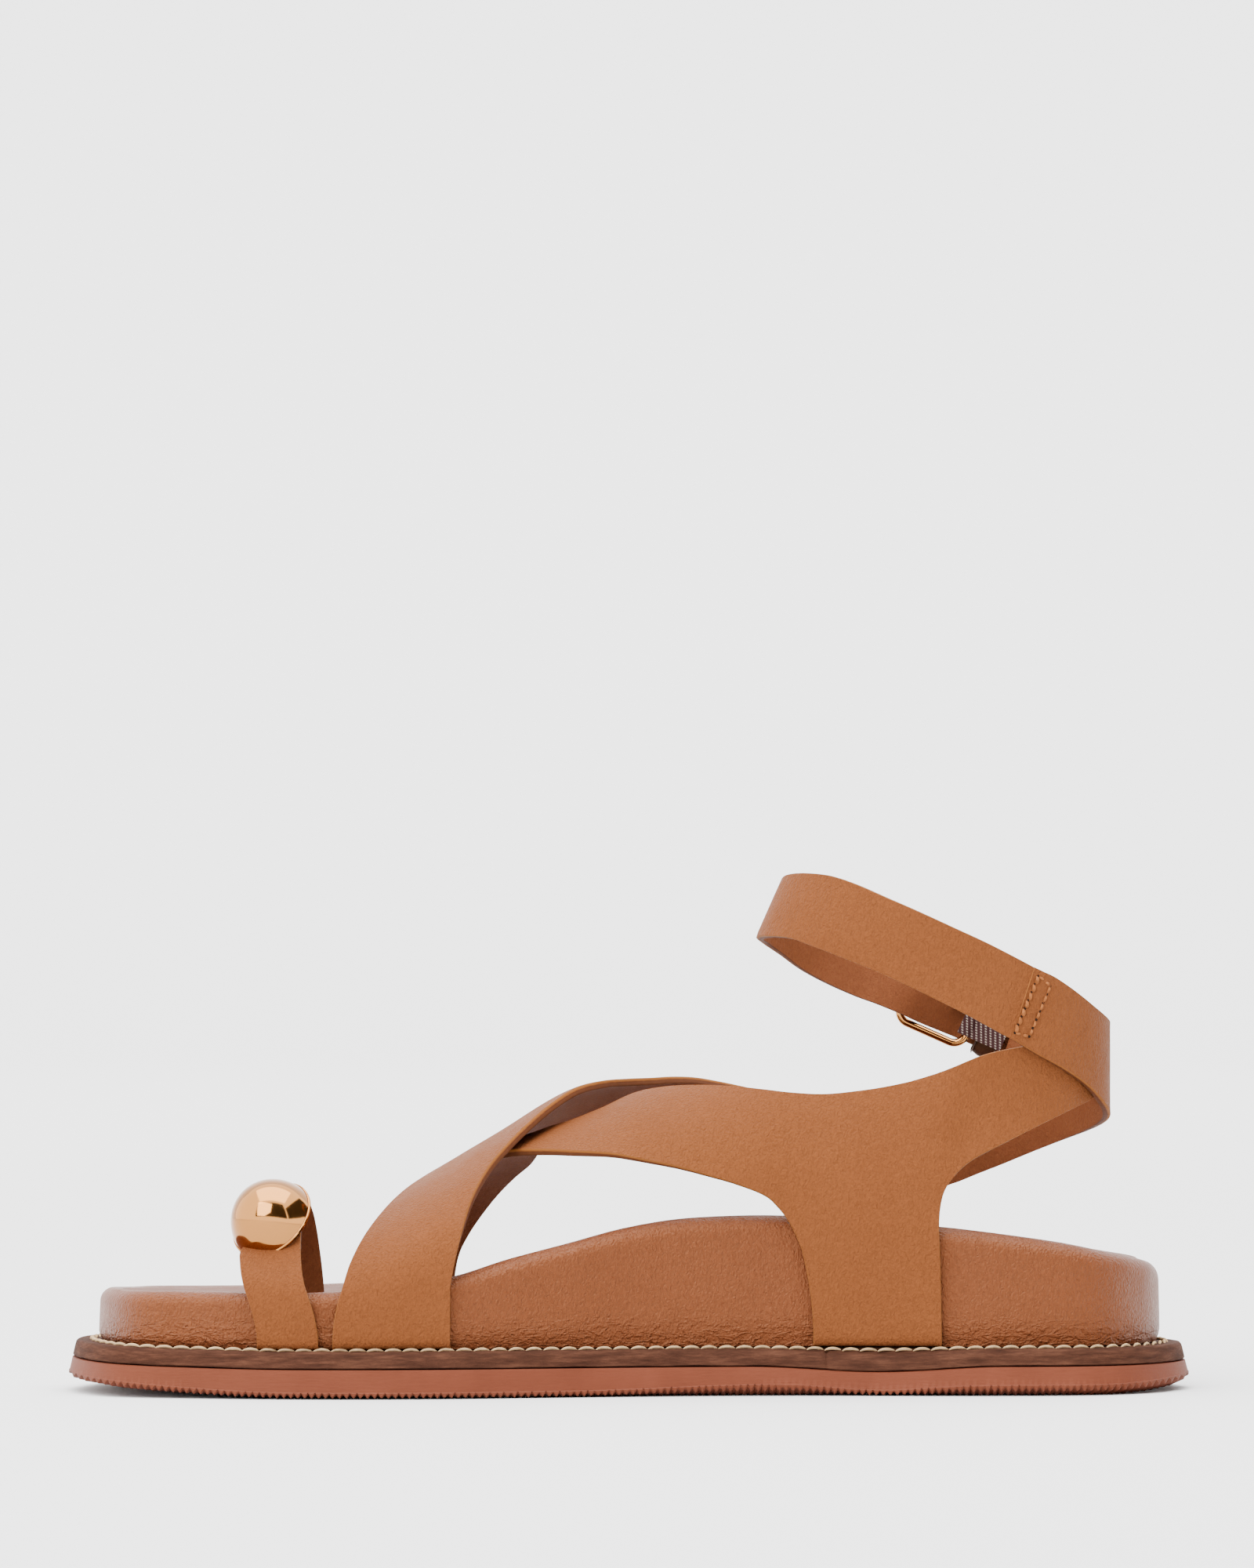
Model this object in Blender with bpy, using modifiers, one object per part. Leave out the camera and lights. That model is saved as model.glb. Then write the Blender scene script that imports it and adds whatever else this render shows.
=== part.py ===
# Ankle strap sandal, right shoe, standing empty on its sole.
# Metres. The toe points to -X, the inner (medial) side to -Y and the floor is Z = 0.

from bisect import bisect_right
from math import asin, atan2, cos, degrees, pi, radians, sin

import bmesh
import bpy
from mathutils import Matrix, Vector

# Driving dimensions
FOOTBED_LENGTH = 0.2504
BALL_WIDTH = 0.0870
TOE_END = -0.1252
STRAP_WALL = 0.0018
STRAP_LAYER = 0.0024
LONG_STRAP_WIDTH = 0.0142
STRAP_OVER_BUCKLE = 2.75
GAP = 0.0003

# Outsole and welt
OUTSOLE_EDGE = 0.0068
OUTSOLE_MARGIN = 0.0069
OUTSOLE_FLARE = 0.0009
OUTSOLE_TREAD_STEP = 0.0011
OUTSOLE_EDGE_INSET = 0.0035
TOE_SPRING = 0.0033
TOE_SPRING_LENGTH = 0.054
TOE_LIFT_OF_TOP = 0.0013
HEEL_SPRING = 0.0016
HEEL_SPRING_LENGTH = 0.024
WELT_HEIGHT = 0.0038
WELT_MARGIN = 0.0050
WELT_SLOPE = 0.0009
WELT_UNDER = 0.0080
WELT_JOINT_ALONG = 0.682
WELT_DIP = 0.0010

# Footbed and its leather sock
ARCH_HEIGHT = 0.0304
FOOTBED_DRAFT = 0.0004
TOE_ROUND = 0.0033
HEEL_ROUND = 0.0046
SOCK_MARGIN = 0.0056
SOCK_THICKNESS = 0.0012

# Straps
INSTEP_RISE = 0.0730
SECTION_POWER = 2.2
TAB_LENGTH = 0.0070
TAB_BEND = 0.0015
POCKET_SPARE = 0.0006
JOIN_PAD_LENGTH = 0.0090

# Ankle
ANKLE_WIDTH = 0.0490
ANKLE_BACK = 0.0366
ANKLE_FRONT = 0.0451
ANKLE_FRONT_LEAN = 0.446
ANKLE_CENTRE_ALONG = 0.7995
ANKLE_RISE = 0.1000
ANKLE_POWER = 2.1
ANKLE_LEAN_TOP = 0.0780

# Toe loop and dome
LOOP_WIDTH = 0.0140
DOME_RADIUS = 0.0093
DOME_HEIGHT = 0.0122
DOME_LIP = 0.0008

# Buckle
BAR_RADIUS = 0.00095
FRAME_LENGTH = 0.0170
FRAME_WIDTH = 0.0172
FRAME_CORNER = 0.0030
BUCKLE_SLOPE = 24.0
BUCKLE_ALONG = 0.7985
BUCKLE_UP = 0.912
BUCKLE_PROUD = 0.0006
PRONG_RADIUS = 0.00065
ELASTIC_WIDTH = 0.0115
ELASTIC_WALL = 0.0009
KEEPER_LENGTH = 0.0054
KEEPER_WALL = 0.0012

# Plan of the footbed's wall: along is a share of its length from the toe, and
# medial and lateral are shares of the ball width from the middle line.
PLAN_COLUMNS = ("along", "medial", "lateral")
PLAN = (
    (0.030, 0.375, 0.235),
    (0.100, 0.455, 0.365),
    (0.200, 0.500, 0.450),
    (0.310, 0.490, 0.500),
    (0.430, 0.420, 0.478),
    (0.560, 0.350, 0.430),
    (0.700, 0.328, 0.385),
    (0.830, 0.345, 0.365),
    (0.930, 0.310, 0.325),
    (0.980, 0.185, 0.195),
)
TOE_TIP_ACROSS = -0.090
PLAN_STEPS = 3

# Top of the footbed: heights over its base, as shares of the arch height.
TOP_COLUMNS = ("along", "medial", "centre", "lateral")
TOP = (
    (0.000, 0.398, 0.382, 0.366),
    (0.100, 0.427, 0.381, 0.371),
    (0.220, 0.437, 0.376, 0.386),
    (0.334, 0.545, 0.400, 0.420),
    (0.390, 0.680, 0.430, 0.480),
    (0.446, 0.800, 0.475, 0.550),
    (0.500, 0.915, 0.520, 0.610),
    (0.557, 0.985, 0.560, 0.660),
    (0.650, 1.000, 0.600, 0.690),
    (0.790, 0.915, 0.600, 0.750),
    (0.889, 0.810, 0.590, 0.780),
    (0.946, 0.725, 0.590, 0.715),
    (1.000, 0.640, 0.600, 0.640),
)

# Lift of the outsole's lower edge, as shares of its edge height: it hangs lower
# where the rear legs of the upper press the welt down.
EDGE_COLUMNS = ("along", "lift")
EDGE = (
    (0.000, 0.060),
    (0.450, 0.050),
    (0.640, 0.220),
    (0.732, 0.020),
    (0.820, 0.180),
    (1.000, 0.190),
)

# Crest of the instep: heights over the floor as shares of the instep rise, for
# the strap that lies on the foot and for the one that passes over it.
CREST_COLUMNS = ("along", "under", "over")
CREST = (
    (0.200, 0.480, 0.510),
    (0.240, 0.541, 0.575),
    (0.272, 0.593, 0.630),
    (0.300, 0.644, 0.677),
    (0.320, 0.678, 0.712),
    (0.352, 0.744, 0.779),
    (0.384, 0.799, 0.844),
    (0.416, 0.836, 0.915),
    (0.448, 0.879, 0.975),
    (0.480, 0.929, 0.997),
    (0.508, 0.973, 1.003),
    (0.536, 0.998, 1.020),
    (0.604, 1.064, 1.075),
    (0.700, 1.150, 1.180),
    (0.800, 1.329, 1.360),
    (0.860, 1.438, 1.466),
)

# Forward arm and quarter: front and rear edges. Along is a share of the footbed's
# length, turn is in degrees round the instep from its crest, positive on the far
# side of the arm's own leg, and layer is 1 where the strap lies over the other one.
ARM_COLUMNS = ("front_along", "front_turn", "rear_along", "rear_turn")
UNDER_ARM = (
    (0.233, 88.0, 0.330, 88.0),
    (0.240, 66.0, 0.335, 75.0),
    (0.250, 50.0, 0.344, 66.0),
    (0.268, 32.0, 0.356, 58.0),
    (0.288, 16.0, 0.371, 50.0),
    (0.310, 4.0, 0.388, 43.0),
    (0.334, -6.0, 0.405, 36.0),
    (0.358, -13.0, 0.414, 24.0),
    (0.384, -20.0, 0.418, 10.0),
    (0.415, -30.0, 0.424, -2.0),
    (0.448, -41.0, 0.445, -9.0),
    (0.482, -51.0, 0.474, -12.0),
    (0.514, -60.0, 0.503, -12.0),
    (0.545, -66.0, 0.530, -15.0),
    (0.572, -71.0, 0.560, -23.0),
    (0.600, -75.5, 0.592, -31.0),
    (0.629, -80.5, 0.620, -37.0),
)
OVER_ARM = (
    (0.233, 80.0, 0.333, 88.0),
    (0.240, 62.0, 0.337, 78.0),
    (0.252, 46.0, 0.344, 64.0),
    (0.269, 30.0, 0.353, 50.0),
    (0.287, 15.0, 0.367, 37.0),
    (0.306, 4.0, 0.384, 28.0),
    (0.328, -5.0, 0.402, 20.5),
    (0.352, -12.0, 0.425, 13.0),
    (0.380, -19.0, 0.449, 7.0),
    (0.412, -29.0, 0.474, 1.0),
    (0.447, -42.0, 0.498, -5.0),
    (0.482, -49.0, 0.520, -10.0),
    (0.514, -54.0, 0.540, -15.0),
    (0.545, -59.0, 0.561, -21.0),
    (0.572, -63.0, 0.582, -27.0),
    (0.600, -67.5, 0.604, -33.0),
    (0.629, -72.0, 0.626, -38.0),
)
OVER_ARM_LAYERS = (0.0, 0.35, 0.8)
INNER_LEG_TOP = (
    (0.652, -87.0, 0.650, -42.0),
    (0.679, -86.0, 0.680, -45.5),
    (0.706, -85.0, 0.708, -47.5),
    (0.733, -84.0, 0.738, -49.5),
    (0.760, -83.0, 0.768, -50.8),
    (0.787, -81.5, 0.800, -51.0),
)
OUTER_LEG_TOP = (
    (0.652, -77.0, 0.650, -42.0),
    (0.679, -77.0, 0.680, -45.5),
    (0.706, -77.0, 0.708, -47.5),
    (0.733, -77.3, 0.738, -49.5),
    (0.760, -77.6, 0.768, -51.8),
    (0.787, -78.0, 0.800, -53.0),
)
LEG_FOOT_ALONG = (0.672, 0.790)
UNDER_ARM_FOOT_ALONG = (0.225, 0.329)
OVER_ARM_FOOT_ALONG = (0.225, 0.333)

# Rear arms and ankle strap: turn is in degrees round the ankle from the back,
# negative on the inner side, and heights are shares of the ankle rise. Proud is in
# strap layers outward.
ANKLE_COLUMNS = ("low_turn", "low_up", "high_turn", "high_up", "proud")
UNDER_REAR = (
    (-88.0, 0.525, -80.0, 0.790, 0.0),
    (-82.0, 0.555, -71.0, 0.802, 0.0),
    (-73.0, 0.582, -62.0, 0.811, 0.0),
    (-64.0, 0.608, -53.0, 0.819, 0.0),
    (-53.0, 0.635, -43.0, 0.827, 0.0),
    (-41.0, 0.660, -33.0, 0.835, 0.0),
    (-27.0, 0.680, -20.0, 0.843, 0.0),
    (-11.0, 0.698, -5.0, 0.851, 0.0),
    (6.0, 0.715, 10.0, 0.861, 0.0),
    (22.0, 0.732, 26.0, 0.874, 0.0),
    (38.0, 0.742, 37.0, 0.882, 0.0),
    (53.0, 0.757, 48.0, 0.894, 0.0),
    (68.0, 0.770, 60.0, 0.905, 0.0),
)
OVER_REAR = (
    (88.0, 0.473, 80.0, 0.742, 0.4),
    (82.0, 0.491, 71.0, 0.752, 1.0),
    (73.0, 0.512, 62.0, 0.771, 1.0),
    (64.0, 0.536, 53.0, 0.795, 1.0),
    (53.0, 0.562, 43.0, 0.817, 1.0),
    (41.0, 0.585, 31.0, 0.836, 1.0),
    (28.0, 0.605, 18.0, 0.850, 1.0),
    (13.0, 0.625, 3.0, 0.858, 1.0),
    (-3.0, 0.648, -13.0, 0.873, 1.0),
    (-18.0, 0.675, -28.0, 0.900, 1.0),
    (-31.5, 0.718, -40.0, 0.936, 1.0),
    (-46.0, 0.757, -50.0, 0.968, 1.0),
    (-59.0, 0.794, -56.5, 0.985, 1.0),
    (-69.5, 0.832, -60.5, 0.996, 1.0),
)
LONG_STRAP = (
    (-76.0, 0.854, -70.0, 1.026, 1.0),
    (-84.0, 0.884, -79.0, 1.056, 1.0),
    (-93.0, 0.921, -89.0, 1.089, 0.9),
    (-102.0, 0.958, -99.0, 1.127, 0.7),
    (-112.0, 0.992, -110.0, 1.160, 0.5),
    (-122.0, 1.019, -122.0, 1.190, 0.3),
    (-133.0, 1.044, -135.0, 1.210, 0.1),
    (-146.0, 1.066, -150.0, 1.216, 0.0),
    (-162.0, 1.070, -166.0, 1.213, 0.0),
    (-180.0, 1.064, -180.0, 1.202, 0.0),
    (-196.0, 1.048, -196.0, 1.186, 0.0),
    (-210.0, 1.020, -210.0, 1.164, 0.0),
    (-221.0, 0.985, -222.0, 1.134, 0.0),
    (-232.0, 0.952, -234.0, 1.103, 0.0),
    (-242.5, 0.922, -248.5, 1.059, 0.0),
    (-249.0, 0.904, -257.0, 1.033, -0.35),
    (-254.0, 0.889, -262.0, 1.016, -0.5),
    (-258.0, 0.877, -266.5, 1.001, -0.3),
    (-262.0, 0.864, -271.0, 0.987, 0.5),
    (-267.0, 0.847, -276.0, 0.971, 1.7),
    (-272.0, 0.827, -281.0, 0.951, 2.6),
    (-278.0, 0.806, -287.0, 0.930, STRAP_OVER_BUCKLE),
    (-286.0, 0.780, -294.0, 0.908, 2.6),
    (-295.0, 0.760, -302.0, 0.888, 2.3),
    (-304.0, 0.744, -309.0, 0.872, 2.1),
    (-309.5, 0.757, -312.5, 0.851, 2.05),
)

# Toe loop, from the inner wall over the toe into the footbed. Along is a share of
# the footbed's length, across of the ball width, and up of the instep rise; roll is
# how far the front edge lies lower, as a share of the strap's width.
LOOP_COLUMNS = ("along", "across", "up", "roll")
LOOP = (
    (0.1700, -0.508, 0.356, 0.00),
    (0.1680, -0.465, 0.435, 0.10),
    (0.1675, -0.412, 0.488, 0.22),
    (0.1675, -0.352, 0.520, 0.34),
    (0.1685, -0.280, 0.538, 0.38),
    (0.1715, -0.205, 0.532, 0.34),
    (0.1755, -0.150, 0.497, 0.20),
    (0.1800, -0.115, 0.420, 0.08),
    (0.1835, -0.097, 0.330, 0.00),
    (0.1850, -0.092, 0.245, 0.00),
)
LOOP_FOOT_ALONG = 0.1825
LOOP_DOME_ROW = 3.2
SLOT_DEPTH_UP = 0.222

# Collections and scene
for old in list(bpy.data.objects):
    bpy.data.objects.remove(old, do_unlink=True)
parts = bpy.data.collections.new("ankle_strap_sandal")
cutters = bpy.data.collections.new("cutters")
bpy.context.scene.collection.children.link(parts)
bpy.context.scene.collection.children.link(cutters)


def finish(name, colour, roughness, metallic=0.0):
    material = bpy.data.materials.new(name)
    material.use_nodes = True
    shader = material.node_tree.nodes["Principled BSDF"]
    shader.inputs["Base Color"].default_value = (*colour, 1.0)
    shader.inputs["Roughness"].default_value = roughness
    shader.inputs["Metallic"].default_value = metallic
    return material


TAN_LEATHER = finish("tan_leather", (0.490, 0.181, 0.065), 0.55)
SOCK_LEATHER = finish("sock_leather", (0.376, 0.122, 0.048), 0.65)
BROWN_LEATHER = finish("brown_leather", (0.184, 0.072, 0.040), 0.75)
TERRACOTTA_RUBBER = finish("terracotta_rubber", (0.392, 0.122, 0.069), 0.70)
ROSE_GOLD = finish("rose_gold", (0.870, 0.640, 0.480), 0.18, 1.0)
WOVEN_ELASTIC = finish("woven_elastic", (0.120, 0.030, 0.030), 0.85)


def add_object(name, mesh, material, collection=parts):
    thing = bpy.data.objects.new(name, mesh)
    mesh.materials.clear()
    mesh.materials.append(material)
    collection.objects.link(thing)
    if collection is cutters:
        thing.hide_render = True
        thing.display_type = "WIRE"
    return thing


def mesh_from(bm, name, smooth=True):
    mesh = bpy.data.meshes.new(name)
    bm.to_mesh(mesh)
    bm.free()
    if smooth:
        mesh.shade_smooth()
        mesh.set_sharp_from_angle(angle=radians(35.0))
    return mesh


def read(rows, columns, name, at):
    # A smooth curve through one column of a table, read at a share of the length.
    keys = [row[0] for row in rows]
    values = [row[columns.index(name)] for row in rows]
    at = min(max(at, keys[0]), keys[-1])
    low = min(bisect_right(keys, at) - 1, len(keys) - 2)

    def slope(i):
        before, after = max(i - 1, 0), min(i + 1, len(keys) - 1)
        return (values[after] - values[before]) / (keys[after] - keys[before])

    span = keys[low + 1] - keys[low]
    t = (at - keys[low]) / span
    start = (2 * t**3 - 3 * t**2 + 1) * values[low] + (t**3 - 2 * t**2 + t) * span * slope(low)
    end = (3 * t**2 - 2 * t**3) * values[low + 1] + (t**3 - t**2) * span * slope(low + 1)
    return start + end


def curve_between(before, start, end, after, t):
    return 0.5 * (
        2.0 * start
        + (end - before) * t
        + (2.0 * before - 5.0 * start + 4.0 * end - after) * t**2
        + (3.0 * start - before - 3.0 * end + after) * t**3
    )


def smooth_rows(rows, steps, closed=False):
    # Rows of points, with new rows between them on a smooth curve.
    count = len(rows)
    made = []
    for i in range(count if closed else count - 1):
        for step in range(steps):
            t = step / steps
            if closed:
                around = [rows[(i + k) % count] for k in (-1, 0, 1, 2)]
            else:
                around = [rows[min(max(i + k, 0), count - 1)] for k in (-1, 0, 1, 2)]
            made.append([curve_between(*column, t) for column in zip(*around)])
    if not closed:
        made.append(list(rows[-1]))
    return made


def length_at(along):
    return TOE_END + along * FOOTBED_LENGTH


def along_at(x):
    return (x - TOE_END) / FOOTBED_LENGTH


def plan_ring(margin):
    # The footbed's plan, moved outward by a margin. Points run from the toe along
    # the inner side to the heel and back along the outer side, in like pairs.
    inner = [Vector((length_at(a), -m * BALL_WIDTH)) for a, m, _ in PLAN]
    outer = [Vector((length_at(a), l * BALL_WIDTH)) for a, _, l in PLAN]
    toe = Vector((length_at(0.0), TOE_TIP_ACROSS * BALL_WIDTH))
    heel = Vector((length_at(1.0), 0.0))
    rows = [[toe]] + [[p] for p in inner] + [[heel]] + [[p] for p in reversed(outer)]
    ring = [row[0] for row in smooth_rows(rows, PLAN_STEPS, closed=True)]
    count = len(ring)
    moved = []
    for i, point in enumerate(ring):
        run = (ring[(i + 1) % count] - ring[i - 1]).normalized()
        moved.append(point + Vector((-run.y, run.x)) * -margin)
    return moved


def wall_across(x, side, margin):
    # Y of the footbed's wall plan, moved outward by a margin, at a place X.
    ring = plan_ring(margin)
    half = len(ring) // 2
    chain = ring[: half + 1] if side < 0 else list(reversed(ring[half:] + ring[:1]))
    x = min(max(x, chain[0].x), chain[-1].x)
    for start, end in zip(chain, chain[1:]):
        if start.x <= x <= end.x:
            return start.y + (end.y - start.y) * (x - start.x) / max(end.x - start.x, 1e-9)
    return chain[-1].y


def toe_share(x):
    front = TOE_END - OUTSOLE_MARGIN
    return max(0.0, (front + TOE_SPRING_LENGTH - x) / TOE_SPRING_LENGTH) ** 1.6


def heel_share(x):
    back = TOE_END + FOOTBED_LENGTH + OUTSOLE_MARGIN
    return max(0.0, (x - back + HEEL_SPRING_LENGTH) / HEEL_SPRING_LENGTH) ** 2


def leg_dip(x):
    middle = length_at(sum(LEG_FOOT_ALONG) / 2)
    reach = (LEG_FOOT_ALONG[1] - LEG_FOOT_ALONG[0]) * FOOTBED_LENGTH
    return WELT_DIP * max(0.0, 1.0 - abs((x - middle) / reach)) ** 2 * 1.5


def outsole_bottom(x):
    return TOE_SPRING * toe_share(x) + HEEL_SPRING * heel_share(x)


def outsole_top(x):
    return OUTSOLE_EDGE + TOE_LIFT_OF_TOP * toe_share(x)


def welt_top(x):
    return outsole_top(x) + GAP + WELT_HEIGHT


def footbed_base(x):
    return welt_top(x) + GAP


def rim_height(x, side):
    column = "medial" if side < 0 else "lateral"
    return footbed_base(x) + ARCH_HEIGHT * read(TOP, TOP_COLUMNS, column, along_at(x))


def centre_height(x):
    return footbed_base(x) + ARCH_HEIGHT * read(TOP, TOP_COLUMNS, "centre", along_at(x))


def blended_rim(point):
    # The rim changes from the inner to the outer height round the toe and heel.
    half = wall_across(point.x, 1, 0.0) if point.y > 0 else -wall_across(point.x, -1, 0.0)
    blend = 0.5 + 0.5 * max(-1.0, min(1.0, point.y / max(half, BALL_WIDTH * 0.2)))
    inner, outer = rim_height(point.x, -1), rim_height(point.x, 1)
    blend = blend * blend * (3 - 2 * blend)
    return inner + (outer - inner) * blend


def loft(rings, closed_section=False):
    # Faces between rings of like points; open ends are closed across the sole.
    bm = bmesh.new()
    rows = [[bm.verts.new(point) for point in ring] for ring in rings]
    pairs = list(zip(rows, rows[1:]))
    if closed_section:
        pairs.append((rows[-1], rows[0]))
    count = len(rows[0])
    for low, high in pairs:
        for i in range(count):
            j = (i + 1) % count
            bm.faces.new((low[i], low[j], high[j], high[i]))
    if not closed_section:
        for row in (list(reversed(rows[0])), rows[-1]):
            row = row[-1:] + row[:-1] if row is not rows[-1] else row
            half = count // 2
            bm.faces.new((row[0], row[1], row[count - 1]))
            for i in range(1, half - 1):
                bm.faces.new((row[i], row[i + 1], row[count - i - 1], row[count - i]))
            bm.faces.new((row[half - 1], row[half], row[half + 1]))
    bmesh.ops.recalc_face_normals(bm, faces=bm.faces)
    bm.normal_update()
    return bm


def inner_ring(margin, share):
    # The plan ring drawn in towards the sole's middle line.
    ring = plan_ring(margin)
    count = len(ring)
    reach = BALL_WIDTH * 0.33
    low, high = length_at(0.0) + reach, length_at(1.0) - reach
    drawn = []
    for i, point in enumerate(ring):
        other = ring[(count - i) % count]
        middle = Vector((min(max(point.x, low), high), (point.y + other.y) / 2))
        drawn.append(middle + (point - middle) * share)
    return drawn


def make_outsole():
    rings = []
    inset = OUTSOLE_MARGIN - OUTSOLE_EDGE_INSET
    rings.append([Vector((p.x, p.y, outsole_bottom(p.x))) for p in inner_ring(inset, 0.45)])
    rings.append([Vector((p.x, p.y, outsole_bottom(p.x))) for p in plan_ring(inset)])

    def lift(x):
        return OUTSOLE_EDGE * read(EDGE, EDGE_COLUMNS, "lift", along_at(x))

    corner = plan_ring(OUTSOLE_MARGIN)
    rings.append([Vector((p.x, p.y, outsole_bottom(p.x) + lift(p.x))) for p in corner])
    step = plan_ring(OUTSOLE_MARGIN - OUTSOLE_FLARE * 0.2)
    rise = OUTSOLE_TREAD_STEP
    rings.append([Vector((p.x, p.y, outsole_bottom(p.x) + lift(p.x) + rise)) for p in step])
    edge = plan_ring(OUTSOLE_MARGIN - OUTSOLE_FLARE)
    rings.append([Vector((p.x, p.y, outsole_top(p.x) - leg_dip(p.x))) for p in edge])
    level = plan_ring(-WELT_UNDER)
    rings.append([Vector((p.x, p.y, outsole_top(p.x))) for p in level])
    rings.append([Vector((p.x, p.y, outsole_top(p.x))) for p in inner_ring(-WELT_UNDER, 0.45)])
    add_object("outsole", mesh_from(loft(rings), "outsole"), TERRACOTTA_RUBBER)


def make_welt():
    inside = plan_ring(-WELT_UNDER)
    middle = plan_ring(0.0)
    lower = plan_ring(WELT_MARGIN + WELT_SLOPE)
    upper = plan_ring(WELT_MARGIN)
    rings = [
        [Vector((p.x, p.y, outsole_top(p.x) + GAP)) for p in inside],
        [Vector((p.x, p.y, outsole_top(p.x) + GAP)) for p in middle],
        [Vector((p.x, p.y, outsole_top(p.x) + GAP - leg_dip(p.x))) for p in lower],
        [Vector((p.x, p.y, welt_top(p.x) - leg_dip(p.x))) for p in upper],
        [Vector((p.x, p.y, welt_top(p.x))) for p in middle],
        [Vector((p.x, p.y, welt_top(p.x))) for p in inside],
    ]
    welt = add_object("welt", mesh_from(loft(rings, True), "welt"), BROWN_LEATHER)
    x = length_at(WELT_JOINT_ALONG)
    place = Vector((x, wall_across(x, -1, 0.0), welt_top(x)))
    reach = Vector((GAP, 3 * (WELT_UNDER + WELT_MARGIN), 4 * WELT_HEIGHT))
    cut(welt, box("welt_joint_cutter", place, reach))


def make_footbed():
    rings = [
        [Vector((p.x, p.y, outsole_top(p.x) + GAP)) for p in inner_ring(-WELT_UNDER - GAP, 0.45)],
        [Vector((p.x, p.y, outsole_top(p.x) + GAP)) for p in plan_ring(-WELT_UNDER - GAP)],
        [Vector((p.x, p.y, footbed_base(p.x))) for p in plan_ring(-WELT_UNDER - GAP)],
        [Vector((p.x, p.y, footbed_base(p.x))) for p in plan_ring(0.0)],
    ]
    base = plan_ring(0.0)
    rims = [blended_rim(p) for p in base]
    for turn in (0.0, 30.0, 60.0, 90.0):
        ring = []
        for point, rim, tight in zip(base, rims, plan_ring(-1.0e-3)):
            inward = (tight - point).normalized()
            share = along_at(point.x)
            radius = TOE_ROUND + (HEEL_ROUND - TOE_ROUND) * min(max(share, 0.0), 1.0)
            move = FOOTBED_DRAFT + radius * (1 - cos(radians(turn)))
            place = point + inward * move
            ring.append(Vector((place.x, place.y, rim - radius * (1 - sin(radians(turn))))))
        rings.append(ring)
    for depth in (0.0, SOCK_THICKNESS + GAP):
        rings += sock_rings(depth, (1.0,) if depth == 0.0 else (1.0, 0.78, 0.5, 0.22), 0.0)
    footbed = add_object("footbed", mesh_from(loft(rings), "footbed"), TAN_LEATHER)
    for side, feet in ((-1, OVER_ARM_FOOT_ALONG), (1, UNDER_ARM_FOOT_ALONG),
                       (-1, LEG_FOOT_ALONG), (1, LEG_FOOT_ALONG)):
        cut(footbed, tab_pocket(side, *feet))
    half = LOOP_WIDTH / 2 / FOOTBED_LENGTH
    cut(footbed, tab_pocket(-1, LOOP_FOOT_ALONG - half, LOOP_FOOT_ALONG + half))
    cut(footbed, loop_slot("footbed_slot_cutter"))


def sock_rings(depth, shares, inset):
    # Rings of the sock's surface, dished from the rim to the middle line.
    rims = [blended_rim(p) - GAP for p in plan_ring(-SOCK_MARGIN)]
    rings = []
    for share in shares:
        ring = []
        for point, rim in zip(inner_ring(-SOCK_MARGIN - inset, share), rims):
            middle = centre_height(point.x)
            ring.append(Vector((point.x, point.y, middle + (rim - middle) * share**2.2 - depth)))
        rings.append(ring)
    return rings


def make_insole():
    shares = (0.22, 0.5, 0.78, 1.0)
    rings = sock_rings(SOCK_THICKNESS, shares, GAP) + sock_rings(0.0, shares[::-1], GAP)
    insole = add_object("insole", mesh_from(loft(rings), "insole"), SOCK_LEATHER)
    cut(insole, loop_slot("insole_slot_cutter"))


def box(name, centre, size, turn=None):
    bm = bmesh.new()
    bmesh.ops.create_cube(bm, size=1.0)
    bmesh.ops.scale(bm, vec=size, verts=bm.verts)
    thing = add_object(name, mesh_from(bm, name, smooth=False), TAN_LEATHER, cutters)
    thing.location = centre
    if turn is not None:
        thing.rotation_euler = turn
    return thing


def join_or_cut(thing, tool, operation):
    modifier = thing.modifiers.new(tool.name, "BOOLEAN")
    modifier.operation = operation
    modifier.solver = "EXACT"
    modifier.object = tool


def cut(thing, cutter):
    join_or_cut(thing, cutter, "DIFFERENCE")


def join(thing, other):
    join_or_cut(thing, other, "UNION")


def tab_pocket(side, front, rear):
    # A pocket in the footbed's lower edge for a strap's turned-in end.
    ends = [length_at(front), length_at(rear)]
    ends = [Vector((x, wall_across(x, side, 0.0))) for x in ends]
    run = ends[1] - ends[0]
    middle = (ends[0] + ends[1]) / 2
    deep = TAB_LENGTH + GAP + POCKET_SPARE
    bow = abs(wall_across(middle.x, side, 0.0) - middle.y)
    skew = TAB_LENGTH * abs(run.y) / run.length
    size = Vector((run.length + 2 * (POCKET_SPARE + skew), 2 * (deep + bow),
                   2 * (STRAP_WALL + GAP + POCKET_SPARE)))
    place = Vector((middle.x, middle.y, footbed_base(middle.x)))
    name = "pocket_%s_%d" % ("inner" if side < 0 else "outer", round(front * 1000))
    return box(name, place, size, (0.0, 0.0, atan2(run.y, run.x)))


def section_point(along, turn, side, layer):
    # A point on the instep: turn goes from the crest (0) down to the rim (90).
    x = length_at(along)
    over, under = (read(CREST, CREST_COLUMNS, name, along) * INSTEP_RISE
                   for name in ("over", "under"))
    crest = under + (over - under) * layer
    face = -side if turn > 0 else side
    sine = abs(sin(radians(turn))) ** (2 / SECTION_POWER)
    cosine = abs(cos(radians(turn))) ** (2 / SECTION_POWER)
    reach = abs(wall_across(x, face, GAP + STRAP_WALL + layer * STRAP_LAYER))
    rim = rim_height(x, face) - TOE_ROUND
    return Vector((x, face * reach * sine, rim + (crest - rim) * cosine))


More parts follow.
